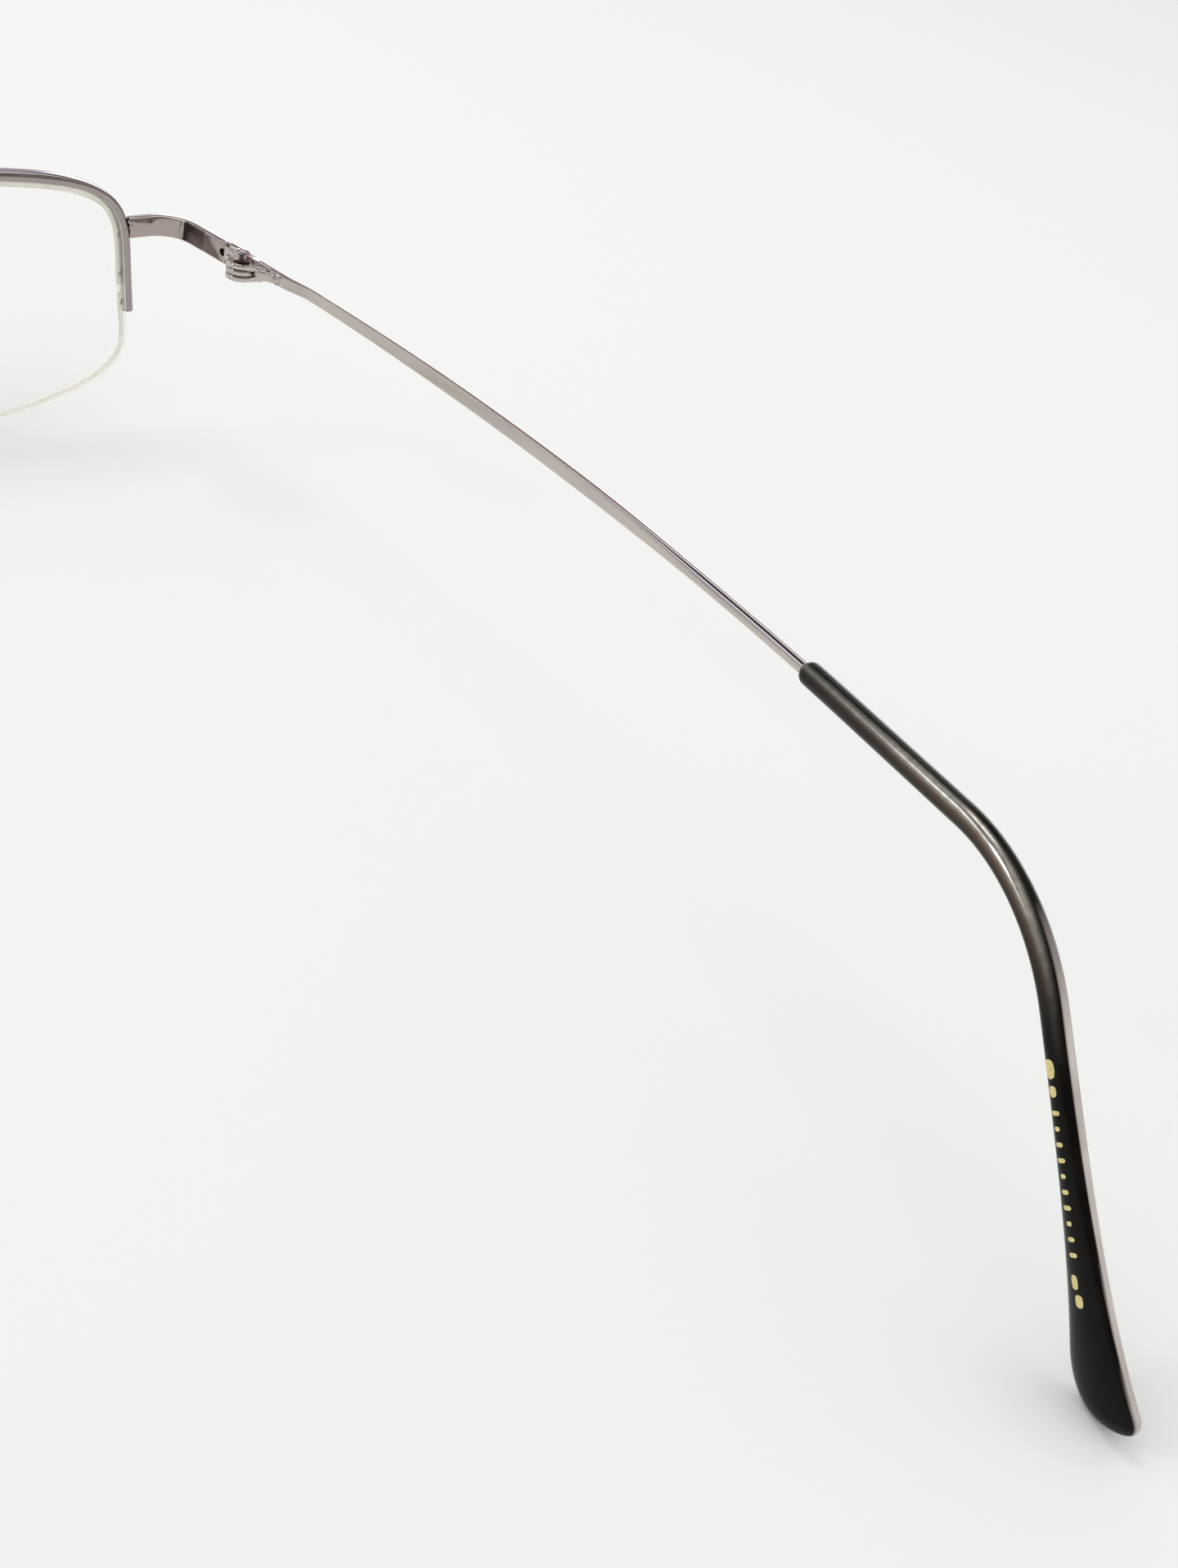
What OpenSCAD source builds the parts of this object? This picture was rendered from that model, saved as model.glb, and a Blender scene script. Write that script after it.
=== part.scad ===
// Half-rim spectacles with clear lenses, open, resting on a table on the two
// lens edges and the two temple tips. Millimetres, +Z up, front towards -Y.
// The wearing frame has X to the wearer's left, Y back along the temples and
// Z up, with Z zero at the temple bars and Y zero at the rim's outer side.
// The left half is drawn and the right half is its mirror image.

/* [Lens] */
// Width of one lens
lens_w = 55; // [48:0.5:58]
// Height of the lens above its widest level
lens_up = 13.2; // [9:0.1:16]
// Height of the lens below its widest level
lens_down = 10.8; // [9:0.1:16]
// Thickness of the lens
lens_t = 1.7; // [1.2:0.1:2.4]
// Radius of the lens's curved front face
face_r = 125; // [90:1:250]
// Squareness of the upper outer corner
square_top_outer = 7.3; // [2:0.1:8]
// Squareness of the lower outer corner
square_low_outer = 3.7; // [2:0.1:6]
// Squareness of the upper nose corner
square_top_nose = 4; // [2:0.1:8]
// Squareness of the lower nose corner
square_low_nose = 2.8; // [2:0.1:6]
// How far the top edge drops towards its ends
crown = 0.7; // [0:0.1:3]
// How far the bottom edge rises towards its ends
belly = 3.4; // [0:0.1:5]
// Inward lean of the sides per millimetre of height
side_lean = 0.001; // [0:0.0002:0.006]
// Depth of the groove round the lens edge
groove_d = 0.5; // [0.3:0.05:0.7]
// Width of the groove round the lens edge
groove_w = 0.8; // [0.6:0.05:1]

/* [Front] */
// Gap between the two lenses
bridge_gap = 17; // [14:0.5:24]
// Forward lean of the front, top forward
lean = 7.6; // [0:0.2:14]
// Turn of each lens round the face
wrap = 4; // [0:0.5:8]
// Height of the temple bars above the lens's widest level
bar_above_lens = 8.6; // [2:0.1:11]
// Thickness of the rim along its top, from the lens edge outwards
rim_t = 1.04; // [0.9:0.02:1.4]
// Thickness of the rim down its sides
rim_side_t = 0.92; // [0.8:0.02:1.2]
// Depth of the rim, front to back
rim_d = 1.9; // [1.5:0.1:2.6]
// Bevel along the rim's outer corners
rim_bevel = 0.2; // [0.05:0.01:0.3]
// Angle above the lens's widest level where the rim ends at the temple side
rim_end_outer = 0.5; // [0:0.5:8]
// Angle above the lens's widest level where the rim ends at the nose side
rim_end_nose = 1; // [0:0.5:8]
// Diameter of the clear cord under the lens
cord_dia = 0.42; // [0.3:0.02:0.5]
// Height of the bridge bar
bridge_h = 1.9; // [1.2:0.1:3]
// Depth of the bridge bar
bridge_d = 1.3; // [0.8:0.1:2]
// How far the middle of the bridge stands above its ends
bridge_rise = 1.6; // [0:0.1:4]
// How far the middle of the bridge stands ahead of its ends
bridge_forward = 1.6; // [0:0.1:4]

/* [End piece] */
// Height of the end piece
end_h = 1.9; // [1.4:0.1:3]
// Thickness of the end piece
end_t = 1.04; // [0.7:0.02:1.6]
// Outer radius of the end piece's bend
end_bend_r = 3.7; // [2:0.1:6]
// Height of the end piece's top edge above the temple bar's middle
end_top = 0.82; // [0.2:0.02:1.5]
// Distance of the end piece's front ahead of the middle of the rim's side
end_ahead = 0.65; // [0.4:0.01:0.8]
// Downward slope of the end piece towards the hinge
end_slope = 1.6; // [0:0.1:3]
// Forward turn of the end piece where it leaves the rim
end_forward = 2.6; // [0:0.1:6]
// Outward splay of the end piece behind its bend
end_splay = 4.4; // [0:0.1:8]

/* [Hinge] */
// Distance of the hinge pin outside the lens's outer side
pin_out = 4.2; // [3.6:0.1:7]
// Distance of the hinge pin behind the rim's outer side
pin_y = 13.1; // [10:0.1:18]
// Radius of the knuckles
knuckle_r = 1.4; // [1.1:0.05:1.8]
// Height of the three knuckles together
knuckle_h = 1.66; // [1.4:0.02:3]
// Height of the middle of the knuckles above the temple bar's middle
knuckle_mid = -0.12; // [-0.5:0.02:0.5]
// Gap between neighbouring knuckles
knuckle_gap = 0.05; // [0.03:0.01:0.1]
// Radius of the hinge screw's shank
screw_r = 0.55; // [0.4:0.01:0.7]
// Radius of the hinge screw's head
head_r = 0.85; // [0.7:0.01:1.1]
// Height of the hinge screw's head
head_h = 0.95; // [0.4:0.05:1.2]
// Clearance round each screw shank
screw_clear = 0.03; // [0.01:0.01:0.06]
// Thickness of a hinge leaf's plate
leaf_t = 0.6; // [0.4:0.05:0.9]
// Length of a hinge leaf's plate
leaf_len = 2.9; // [2:0.1:5]
// Distance from the hinge pin to the joint line ahead of it
joint_ahead = 1.7; // [1.6:0.05:2.4]
// Gap between pieces that are soldered or that butt
seat_gap = 0.03; // [0.01:0.01:0.08]

/* [Temple] */
// Length of the temple from the hinge pin, along its bend
temple_len = 141.8; // [120:0.2:155]
// Length of the temple from the start of the ear bend to its end
tail_len = 39.5; // [32:0.5:50]
// Length of the moulded tip
tip_len = 59; // [56:0.5:70]
// Thickness of the temple's flat front plate
plate_t = 0.8; // [0.6:0.05:1.2]
// Height of the temple's flat front plate
plate_h = 1.02; // [0.9:0.02:2]
// Length of the flat front plate behind the hinge pin
plate_len = 4.2; // [3.6:0.1:10]
// Thickness of the temple bar
bar_t = 0.5; // [0.4:0.05:1.2]
// Height of the temple bar
bar_h = 1.2; // [0.7:0.05:1.6]
// Diameter of the round wire inside the tip
wire_dia = 0.95; // [0.7:0.05:1.2]
// Distance of the bar's middle outside the plate's middle
bar_out = 0.43; // [0:0.01:0.5]
// Outward turn of the bar behind its plate
bar_splay = -0.95; // [-2:0.05:1]
// Radius of the bar's long inward bow
bow_r = 385; // [250:5:900]
// Straight length between the bow and the ear bend
bow_short = 13.6; // [4:0.1:16]
// Radius of the ear bend
bend_r = 14.5; // [12:0.5:30]
// Angle of the ear bend
bend_angle = 56; // [30:1:60]
// Diameter of the tip where it is round
tip_dia = 1.8; // [1.5:0.1:3]
// Width of the tip's flat end
paddle_w = 5.4; // [3:0.1:8]
// Thickness of the tip's flat end
paddle_t = 1.6; // [1.4:0.1:3]
// Length of the rounding at the flat end's fore edge
fore_round = 5; // [2:0.1:8]
// Length of the rounding at the flat end's rear edge
rear_round = 1.3; // [1:0.1:3]
// Wall of the tip beyond the end of the wire
wire_short = 9; // [7:0.5:20]

/* [Nose pads] */
// Length of a nose pad
pad_l = 13; // [10:0.5:16]
// Width of a nose pad
pad_w = 7.4; // [6:0.2:10]
// Thickness of a nose pad
pad_t = 2.6; // [2.2:0.1:3.4]
// Distance of the pad screw outside the lens's nose side
pad_over = 2.8; // [1:0.1:5]
// Distance of the pad screw behind the rim's outer side
pad_y = 4.6; // [2:0.1:8]
// Depth of the pad screw below the temple bars
pad_z = 9.4; // [6:0.1:13]
// Opening angle of the pads towards the face
pad_splay = 26; // [10:1:40]
// Angle of the pads seen from the front
pad_slant = 18; // [0:1:30]
// Diameter of the pad arm's wire
arm_dia = 1.0; // [0.8:0.05:1.4]
// Outer width of the pad box along its screw
box_w = 2.3; // [2:0.1:3]
// Outer height of the pad box
box_h = 2.9; // [2.6:0.1:3.6]
// Outer depth of the pad box
box_d = 2.2; // [1.8:0.1:3]
// Wall of the pad box
box_wall = 0.42; // [0.3:0.02:0.5]
// Radius of the pad screw's shank
pad_screw_r = 0.36; // [0.3:0.02:0.5]

/* [Hidden] */

metal = [0.62, 0.58, 0.57];
steel = [0.72, 0.70, 0.69];
clear_lens = [0.85, 0.90, 0.90, 0.35];
nylon = [0.92, 0.92, 0.90];
sleeve = [0.12, 0.11, 0.09];
silicone = [0.88, 0.88, 0.85, 0.7];

// Smallest clearance between pieces that only lie in one another
fit_gap = 0.04;
lens_half = lens_w / 2;
lens_x = bridge_gap / 2 + lens_half;
pin_x = lens_x + lens_half + pin_out;
pad_x = bridge_gap / 2 + pad_over;
// How far back the rim's outer side lies from the middle of the lens
side_back = lens_half * sin(wrap) + (lens_half * lens_half / (2 * face_r) + lens_t / 2) * cos(wrap);
lens_centre = [lens_x, -side_back * cos(lean), -bar_above_lens - side_back * sin(lean)];
rim_front = (lens_t - rim_d) / 2;
rim_back = rim_front + rim_d;
groove_front = (lens_t - groove_w) / 2;
groove_back = groove_front + groove_w;
// Half of the liner stands in the rim and half in the lens
liner_half = groove_d - 2 * fit_gap;
cord_r = cord_dia / 2;
end_in_groove = 5;

// Turning by hand, for points that are worked out before they are drawn
function turn_z(p, a) = [p.x * cos(a) - p.y * sin(a), p.x * sin(a) + p.y * cos(a), p.z];
function turn_y(p, a) = [p.x * cos(a) + p.z * sin(a), p.y, -p.x * sin(a) + p.z * cos(a)];
function turn_x(p, a) = [p.x, p.y * cos(a) - p.z * sin(a), p.y * sin(a) + p.z * cos(a)];
function unit(p) = p / norm(p);
function mix(a, b, k) = a + (b - a) * k;
function ease(k) = let (t = min(max(k, 0), 1)) t * t * (3 - 2 * t);

// Outline of the lens seen square on, as a squared oval whose four quarters
// have their own squareness, with a crowned top and leaning sides
function lens_point(angle) =
    let (
        c = cos(angle),
        s = sin(angle),
        high = s > 0 ? lens_up : lens_down,
        square = s > 0
            ? (c > 0 ? square_top_outer : square_top_nose)
            : (c > 0 ? square_low_outer : square_low_nose),
        r = pow(pow(abs(c) / lens_half, square) + pow(abs(s) / high, square), -1 / square),
        u = r * c,
        v = r * s,
        drop = s > 0 ? crown / lens_up : belly / lens_down
    )
    [u * (1 - side_lean * v), v * (1 - drop * u * u / (lens_half * lens_half))];
function lens_normal(angle) =
    let (d = lens_point(angle + 0.2) - lens_point(angle - 0.2)) [d.y, -d.x] / norm(d);
// The outline grown by a distance
function grown(angle, by) = lens_point(angle) + by * lens_normal(angle);
// A point of the curved front: p on the front face, back by w along the lens's axis
function bowl(p, w) = [p.x, face_r - sqrt(face_r * face_r - p.x * p.x - p.y * p.y) + w, p.y];
function lens_to_frame(p) = lens_centre + turn_x(turn_z(p, wrap), lean);
function on_front(angle, by, w) = lens_to_frame(bowl(grown(angle, by), w));
// Polar angles that lie closer together round the lens's corners
function quarter_angle(t, high) = t > 89.9 ? 90 : atan(high / lens_half * pow(tan(t), 0.6));
function spread(t) =
    let (
        turn = t - 360 * floor(t / 360),
        k = floor(turn / 90),
        high = turn < 180 ? lens_up : lens_down,
        rest = turn - 90 * k
    )
    k % 2 == 0 ? 90 * k + quarter_angle(rest, high) : 90 * (k + 1) - quarter_angle(90 - rest, high);
// Thickness of the rim at an angle
function rim_at(angle) = mix(rim_side_t, rim_t, ease((min(angle, 180 - angle) - 8) / 25));

// Centre line of the temple in the wearing frame, measured from the hinge pin
bend_start = temple_len - tail_len;
bow_end = bend_start - bow_short;
tip_start = temple_len - tip_len;
plate_x = pin_x + knuckle_r + 0.15 + plate_t / 2;
neck_end = plate_len + 4;
bow_start = neck_end;
end_heading = bar_splay - (bow_end - bow_start) / bow_r * 180 / PI;
function heading(s) =
    s < bow_start ? 0 : bar_splay - (min(s, bow_end) - bow_start) / bow_r * 180 / PI;
function droop(s) = min(max((s - bend_start) / bend_r * 180 / PI, 0), bend_angle);
function along(s) = let (a = heading(s)) [sin(a), cos(a), 0];
function bow_point(s) =
    let (a = heading(s))
    [plate_x + bar_out + bow_r * (cos(a) - cos(bar_splay)), pin_y + bow_start + bow_r * (sin(bar_splay) - sin(a)), 0];
bend_len = bend_r * bend_angle * PI / 180;
bend_end = bend_start + bend_len;
bend_point = bow_point(bow_end) + (bend_start - bow_end) * along(bow_end);
function temple_point(s) =
    s < bow_start ? [plate_x + bar_out * ease((s - plate_len) / (neck_end - plate_len)), pin_y + s, 0]
    : s < bow_end ? bow_point(s)
    : s < bend_start ? bow_point(bow_end) + (s - bow_end) * along(bow_end)
    : let (b = droop(s), rest = max(s - bend_end, 0))
      bend_point
      + along(s) * (bend_r * sin(b) + rest * cos(b))
      - [0, 0, bend_r * (1 - cos(b)) + rest * sin(b)];
function temple_side(s) = let (a = heading(s)) [cos(a), -sin(a), 0];
function temple_up(s) = let (a = heading(s), b = droop(s)) [sin(a) * sin(b), cos(a) * sin(b), cos(b)];

// Half widths of the tip to its rear and fore edges, and its half thickness
tip_end = temple_len;
swell_start = bend_end - 1.5;
swell_end = tip_end - 3;
end_bias = 0.55;
function quarter(k) = let (t = min(max(k, 0), 1)) sqrt(1 - t * t);
function tip_swell(s) = pow(min(max((s - swell_start) / (swell_end - swell_start), 0), 1.1), 3);
function tip_front(s) = quarter(1 - (s - tip_start) / (tip_dia / 2));
function tip_w(s) = mix(tip_dia, paddle_w, tip_swell(s)) / 2 * tip_front(s);
function tip_rear(s) = tip_w(s) * mix(end_bias, 1, quarter((s - tip_end + rear_round) / rear_round));
function tip_fore(s) = tip_w(s) * mix(-end_bias, 1, quarter((s - tip_end + fore_round) / fore_round));
function tip_half_t(s) =
    mix(tip_dia, paddle_t, tip_swell(s)) / 2 * tip_front(s) * quarter((s - tip_end + rear_round) / rear_round);
function tip_half_w(s) = (tip_rear(s) + tip_fore(s)) / 2;
function tip_middle(s) = temple_point(s) + (tip_rear(s) - tip_fore(s)) / 2 * temple_up(s);

// Resting on the table: the pitch that sets the lens edges and the tips down
// together, found by a few Newton steps, and the height and middle that follow
lens_feet = [for (a = [240 : 2 : 300], w = [0, lens_t]) on_front(a, 0, w)];
tip_feet = [
    for (s = [tip_end - 12 : 0.5 : tip_end], a = [0 : 10 : 350])
    tip_middle(s) + tip_half_t(s) * cos(a) * temple_side(s) + tip_half_w(s) * sin(a) * temple_up(s)
];
function lowest(points, pitch) = min([for (p = points) turn_x(p, pitch).z]);
feet_apart = temple_point(tip_end - 4).y;
function solve_pitch(pitch, steps) =
    steps == 0 ? pitch
    : solve_pitch(
        pitch - (lowest(tip_feet, pitch) - lowest(lens_feet, pitch)) / feet_apart * 180 / PI,
        steps - 1
    );
rest_pitch = solve_pitch(3, 6);
floor_z = lowest(lens_feet, rest_pitch);
bridge_angle = 162;
bridge_foot = on_front(bridge_angle, rim_at(bridge_angle) + seat_gap, lens_t / 2);
bridge_middle = bridge_foot + [0, -bridge_forward, bridge_rise];
front_most = min([
    for (a = [60 : 5 : 179]) turn_x(on_front(a, rim_at(a), rim_front), rest_pitch).y,
    turn_x([0, bridge_middle.y - bridge_d / 2, bridge_middle.z], rest_pitch).y
]);
rear_most = max([for (p = tip_feet) turn_x(p, rest_pitch).y]);
middle_y = (front_most + rear_most) / 2;

// Puts the wearing frame on the table
module on_table() {
    translate([0, -middle_y, -floor_z]) rotate([rest_pitch, 0, 0]) children();
}

module left() {
    on_table() children();
}

module right() {
    on_table() mirror([1, 0, 0]) children();
}

module at_lens() {
    translate(lens_centre) rotate([lean, 0, 0]) rotate([0, 0, wrap]) children();
}

// The hinge's own frame: X outwards from the pin, Y back, Z up
module at_pin() {
    translate([pin_x, pin_y, knuckle_mid]) children();
}

// The pad's own frame: X away from the nose, Y back along the screw, Z up
module at_pad() {
    translate([pad_x, pad_y, -pad_z]) rotate([0, 0, -pad_splay]) rotate([0, -pad_slant, 0]) children();
}

function pad_to_frame(p) = [pad_x, pad_y, -pad_z] + turn_z(turn_y(p, -pad_slant), -pad_splay);

// Skins a list of rings of equal length, closed at both ends
module skin(rings) {
    n = len(rings[0]);
    m = len(rings);
    points = [for (ring = rings) each ring];
    sides = [
        for (i = [0 : m - 2], j = [0 : n - 1])
        let (k = (j + 1) % n)
        each [
            [i * n + j, (i + 1) * n + k, (i + 1) * n + j],
            [i * n + j, i * n + k, (i + 1) * n + k]
        ]
    ];
    caps = [[for (j = [n - 1 : -1 : 0]) j], [for (j = [0 : n - 1]) (m - 1) * n + j]];
    polyhedron(points = points, faces = concat(sides, caps), convexity = 8);
}

// A ring of a bar: half width a along side, half height b along up
function bar_ring(at, side, up, a, b, round, n) = [
    for (i = [0 : n - 1])
    let (t = (i + 0.5) * 360 / n, c = cos(t), s = sin(t))
    at + side * a * sign(c) * pow(abs(c), round) + up * b * sign(s) * pow(abs(s), round)
];

// A smooth curve through four control points
function bezier(p, t) =
    pow(1 - t, 3) * p[0] + 3 * t * pow(1 - t, 2) * p[1] + 3 * t * t * (1 - t) * p[2] + pow(t, 3) * p[3];
function bezier_dir(p, t) = unit(bezier(p, min(t + 0.01, 1)) - bezier(p, max(t - 0.01, 0)));

// Rim: a flat bar bent round the upper lens edge, grooved on its inner side
rim_steps = 56;
function rim_section(t) = [
    [fit_gap, rim_front],
    [t - rim_bevel, rim_front],
    [t, rim_front + rim_bevel],
    [t, rim_back - rim_bevel],
    [t - rim_bevel, rim_back],
    [fit_gap, rim_back],
    [fit_gap, groove_back],
    [liner_half + fit_gap, groove_back],
    [liner_half + fit_gap, groove_front],
    [fit_gap, groove_front]
];
module rim() {
    inner_angles = [
        for (i = [rim_steps : -1 : 0])
        let (a = spread(180 * i / rim_steps))
        if (a > rim_end_outer + 0.5 && a < 179.5 - rim_end_nose) a
    ];
    color(metal)
    skin([
        for (a = concat([180 - rim_end_nose], inner_angles, [rim_end_outer]))
        [for (q = rim_section(rim_at(a))) on_front(a, q.x, q.y)]
    ]);
}

// Liner: the strip that holds the lens in the rim's groove
liner_steps = 44;
module rim_liner() {
    half_w = groove_w / 2 - fit_gap;
    section = [
        [-liner_half, lens_t / 2 - half_w],
        [liner_half, lens_t / 2 - half_w],
        [liner_half, lens_t / 2 + half_w],
        [-liner_half, lens_t / 2 + half_w]
    ];
    color(nylon)
    skin([
        for (i = [liner_steps : -1 : 0])
        let (a = spread(mix(end_in_groove, 180 - end_in_groove, i / liner_steps)))
        [for (q = section) on_front(a, q.x, q.y)]
    ]);
}

// Cord: clear nylon in the lens groove, from one rim end to the other
cord_steps = 56;
module lens_cord() {
    sink = groove_d - cord_r - fit_gap;
    tuck = spread(end_in_groove) - 1.5;
    color(nylon)
    skin([
        for (i = [cord_steps : -1 : 0])
        let (a = mix(180 - tuck, 360 + tuck, i / cord_steps))
        [
            for (j = [0 : 7])
            on_front(a, -sink + cord_r * cos(45 * j), lens_t / 2 + cord_r * sin(45 * j))
        ]
    ]);
}

// Lens: a curved blank cut to the outline, with a groove round its edge
outline_steps = 120;
module lens_outline(by) {
    polygon([for (i = [0 : outline_steps - 1]) grown(spread(i * 360 / outline_steps), by)]);
}

module lens_layer(by, from, to) {
    arc_steps = 10;
    reach = lens_half + 4;
    intersection() {
        translate([0, face_r, 0]) rotate([90, 0, 0])
        rotate_extrude($fn = 96)
        polygon(concat(
            [for (i = [0 : arc_steps])
                let (a = asin(reach / face_r) * i / arc_steps) [face_r * sin(a), face_r * cos(a) - from]],
            [for (i = [arc_steps : -1 : 0])
                let (a = asin(reach / face_r) * i / arc_steps) [face_r * sin(a), face_r * cos(a) - to]]
        ));
        translate([0, lens_half, 0]) rotate([90, 0, 0])
        linear_extrude(height = 2 * lens_half) lens_outline(by);
    }
}

module lens() {
    color(clear_lens)
    at_lens() {
        lens_layer(0, 0, groove_front);
        lens_layer(-groove_d, groove_front - 0.1, groove_back + 0.1);
        lens_layer(0, groove_back, lens_t);
    }
}

// Bridge: a bar that springs square from one rim, rises and runs to the other
bridge_steps = 14;
bridge_out = unit(on_front(bridge_angle, rim_t + 1, lens_t / 2) - on_front(bridge_angle, rim_t, lens_t / 2));
bridge_curve = [
    bridge_foot,
    bridge_foot + 3.2 * bridge_out,
    [4.5, bridge_middle.y, bridge_middle.z],
    [0, bridge_middle.y, bridge_middle.z]
];
module bridge() {
    half = [
        for (i = [0 : bridge_steps])
        let (
            t = i / bridge_steps,
            d = i == 0 ? bridge_out : i == bridge_steps ? [-1, 0, 0] : bezier_dir(bridge_curve, t),
            across = unit(cross(d, [0, 0, 1])),
            up = cross(across, d),
            slim = mix(0.82, 1, ease(t * 2))
        )
        bar_ring(bezier(bridge_curve, t), across, up, bridge_d / 2 * slim, bridge_h / 2 * slim, 0.7, 12)
    ];
    other = [
        for (i = [bridge_steps - 1 : -1 : 0])
        [for (p = half[i]) [-p.x, p.y, p.z]]
    ];
    color(metal)
    skin(concat(half, other));
}

// End piece: a strip that leaves the rim sideways and bends back to the hinge
end_corner = [pin_x + knuckle_r + 0.15 + plate_t + 0.05, pin_y - joint_ahead];
module end_piece_plan(from, to, back) {
    // Outer face behind the bend runs through the joint line's outer corner
    rear_dir = [sin(end_splay), cos(end_splay)];
    rear_in = [-cos(end_splay), sin(end_splay)];
    side_dir = [cos(end_forward), -sin(end_forward)];
    side_in = [sin(end_forward), cos(end_forward)];
    // Where the outer faces of the two straight stretches meet
    start = [rim_side_x, -end_ahead];
    gap = end_corner - start;
    along_rear = (gap.x * side_dir.y - gap.y * side_dir.x)
        / (rear_dir.x * side_dir.y - rear_dir.y * side_dir.x);
    meet = end_corner - rear_dir * along_rear;
    turned = 90 + end_forward - end_splay;
    run = end_bend_r * tan(turned / 2);
    centre = meet - side_dir * run + side_in * end_bend_r;
    steps = 16;
    arc = [
        for (i = [0 : steps])
        let (a = -90 - end_forward + turned * i / steps) [cos(a), sin(a)]
    ];
    tail = end_corner - rear_dir * back;
    polygon(concat(
        [start + side_in * from + side_dir * rim_gap_at(from)],
        [for (d = arc) centre + d * (end_bend_r - from)],
        [tail + rear_in * from, tail + rear_in * to],
        [for (i = [steps : -1 : 0]) centre + arc[i] * (end_bend_r - to)],
        [start + side_in * to + side_dir * rim_gap_at(to)]
    ));
}

// The end piece starts along the rim's outer side, which slants in towards the back
end_level = atan((bar_above_lens - end_h / 3) / lens_half);
rim_side_x = on_front(end_level, rim_at(end_level), rim_front).x;
rim_side_slant = (on_front(end_level, rim_at(end_level), rim_back).x - rim_side_x) / rim_d;
function rim_gap_at(depth) = seat_gap + rim_side_slant * depth;

module end_piece() {
    color(metal)
    translate([0, 0, end_top]) rotate([-end_slope, 0, 0])
    translate([0, 0, -end_h]) linear_extrude(height = end_h)
    end_piece_plan(0, end_t, 0);
}

// Hinge heights, from the bottom of the knuckles up
third = (knuckle_h - 2 * knuckle_gap) / 3;
low = -knuckle_h / 2;
mid_low = low + third + knuckle_gap;
mid_high = mid_low + third;
high_low = mid_high + knuckle_gap;
high = knuckle_h / 2;
bore_r = screw_r + screw_clear;
plate_in = plate_x - plate_t / 2 - pin_x;

module slab(points, from, to) {
    translate([0, 0, from]) linear_extrude(height = to - from) polygon(points);
}

// Front leaf: the middle knuckle and its plate on the end piece
module hinge_front_leaf() {
    // The end piece's inner face, at a distance behind the pin
    corner_in = end_corner.x - pin_x - end_t / cos(end_splay) - seat_gap;
    lean_in = tan(end_splay);
    front_y = -joint_ahead - leaf_len;
    rear_y = -joint_ahead;
    rear_x = corner_in;
    front_x = corner_in - lean_in * leaf_len;
    color(steel)
    at_pin()
    difference() {
        union() {
            translate([0, 0, mid_low]) cylinder(r = knuckle_r, h = third, $fn = 64);
            slab([
                [0, -knuckle_r], [front_x - leaf_t, front_y + 0.8], [front_x, front_y],
                [rear_x, rear_y], [knuckle_r * cos(20), -knuckle_r * sin(20)], [0, 0]
            ], mid_low, mid_high);
            slab([
                [front_x - leaf_t, front_y], [front_x, front_y],
                [rear_x, rear_y], [rear_x - leaf_t, rear_y - 0.1]
            ], low, high);
        }
        translate([0, 0, low - 1]) cylinder(r = bore_r, h = knuckle_h + 2, $fn = 48);
    }
}

// Temple leaf: the top and bottom knuckles and their plate on the temple
module hinge_temple_leaf() {
    face_x = plate_in - seat_gap;
    front_y = knuckle_r - 0.1;
    rear_y = front_y + leaf_len - 0.2;
    color(steel)
    at_pin()
    difference() {
        union() {
            for (z = [low, high_low]) {
                translate([0, 0, z]) cylinder(r = knuckle_r, h = third, $fn = 64);
                slab([
                    [0, 0], [face_x, 0], [face_x, front_y + 0.5], [face_x - leaf_t, front_y + 0.5],
                    [0, knuckle_r]
                ], z, z + third);
            }
            slab([
                [face_x - leaf_t, front_y], [face_x, front_y],
                [face_x, rear_y], [face_x - leaf_t, rear_y - 0.3]
            ], -plate_h / 2 - knuckle_mid, plate_h / 2 - knuckle_mid);
        }
        translate([0, 0, low - 1]) cylinder(r = bore_r, h = knuckle_h + 2, $fn = 48);
    }
}

// Hinge screw: a tall round head on top and a shank down through the knuckles
module hinge_screw() {
    slot = 0.28;
    color(steel)
    at_pin()
    difference() {
        union() {
            translate([0, 0, low]) cylinder(r = screw_r, h = knuckle_h + head_h / 2, $fn = 48);
            translate([0, 0, high + seat_gap])
            rotate_extrude($fn = 64)
            polygon([
                [0, 0], [head_r, 0], [head_r, head_h - 0.12], [head_r - 0.12, head_h], [0, head_h]
            ]);
        }
        for (turn = [20, 110])
        rotate([0, 0, turn])
        translate([-head_r - 1, -slot / 2, high + head_h - 0.35])
        cube([2 * head_r + 2, slot, 1]);
    }
}

// Temple: a flat plate that narrows to a bar, then a round wire inside the tip
module temple() {
    front = -joint_ahead + 2 * seat_gap;
    wire_end = tip_end - wire_short;
    places = concat(
        [front, plate_len, plate_len + 1, plate_len + 2, plate_len + 3, neck_end],
        [for (i = [1 : 9]) mix(neck_end, tip_start, i / 10)],
        [tip_start, bow_end, (bow_end + bend_start) / 2],
        [for (i = [0 : 8]) bend_start + bend_len * i / 8],
        [(bend_end + wire_end) / 2, wire_end]
    );
    color(metal)
    skin([
        for (s = places)
        let (
            neck = ease((s - plate_len) / (neck_end - plate_len)),
            flat = ease((s - neck_end) / 25),
            wire = ease((s - tip_start + 33) / 23),
            half_t = mix(mix(plate_t, bar_t, neck), wire_dia, wire) / 2,
            half_h = mix(mix(plate_h, mix(bar_h * 0.85, bar_h, flat), neck), wire_dia, wire) / 2,
            round = mix(0.3, mix(0.35, 1, wire), neck)
        )
        bar_ring(temple_point(s), temple_side(s), temple_up(s), half_t, half_h, round, 12)
    ]);
}

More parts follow.
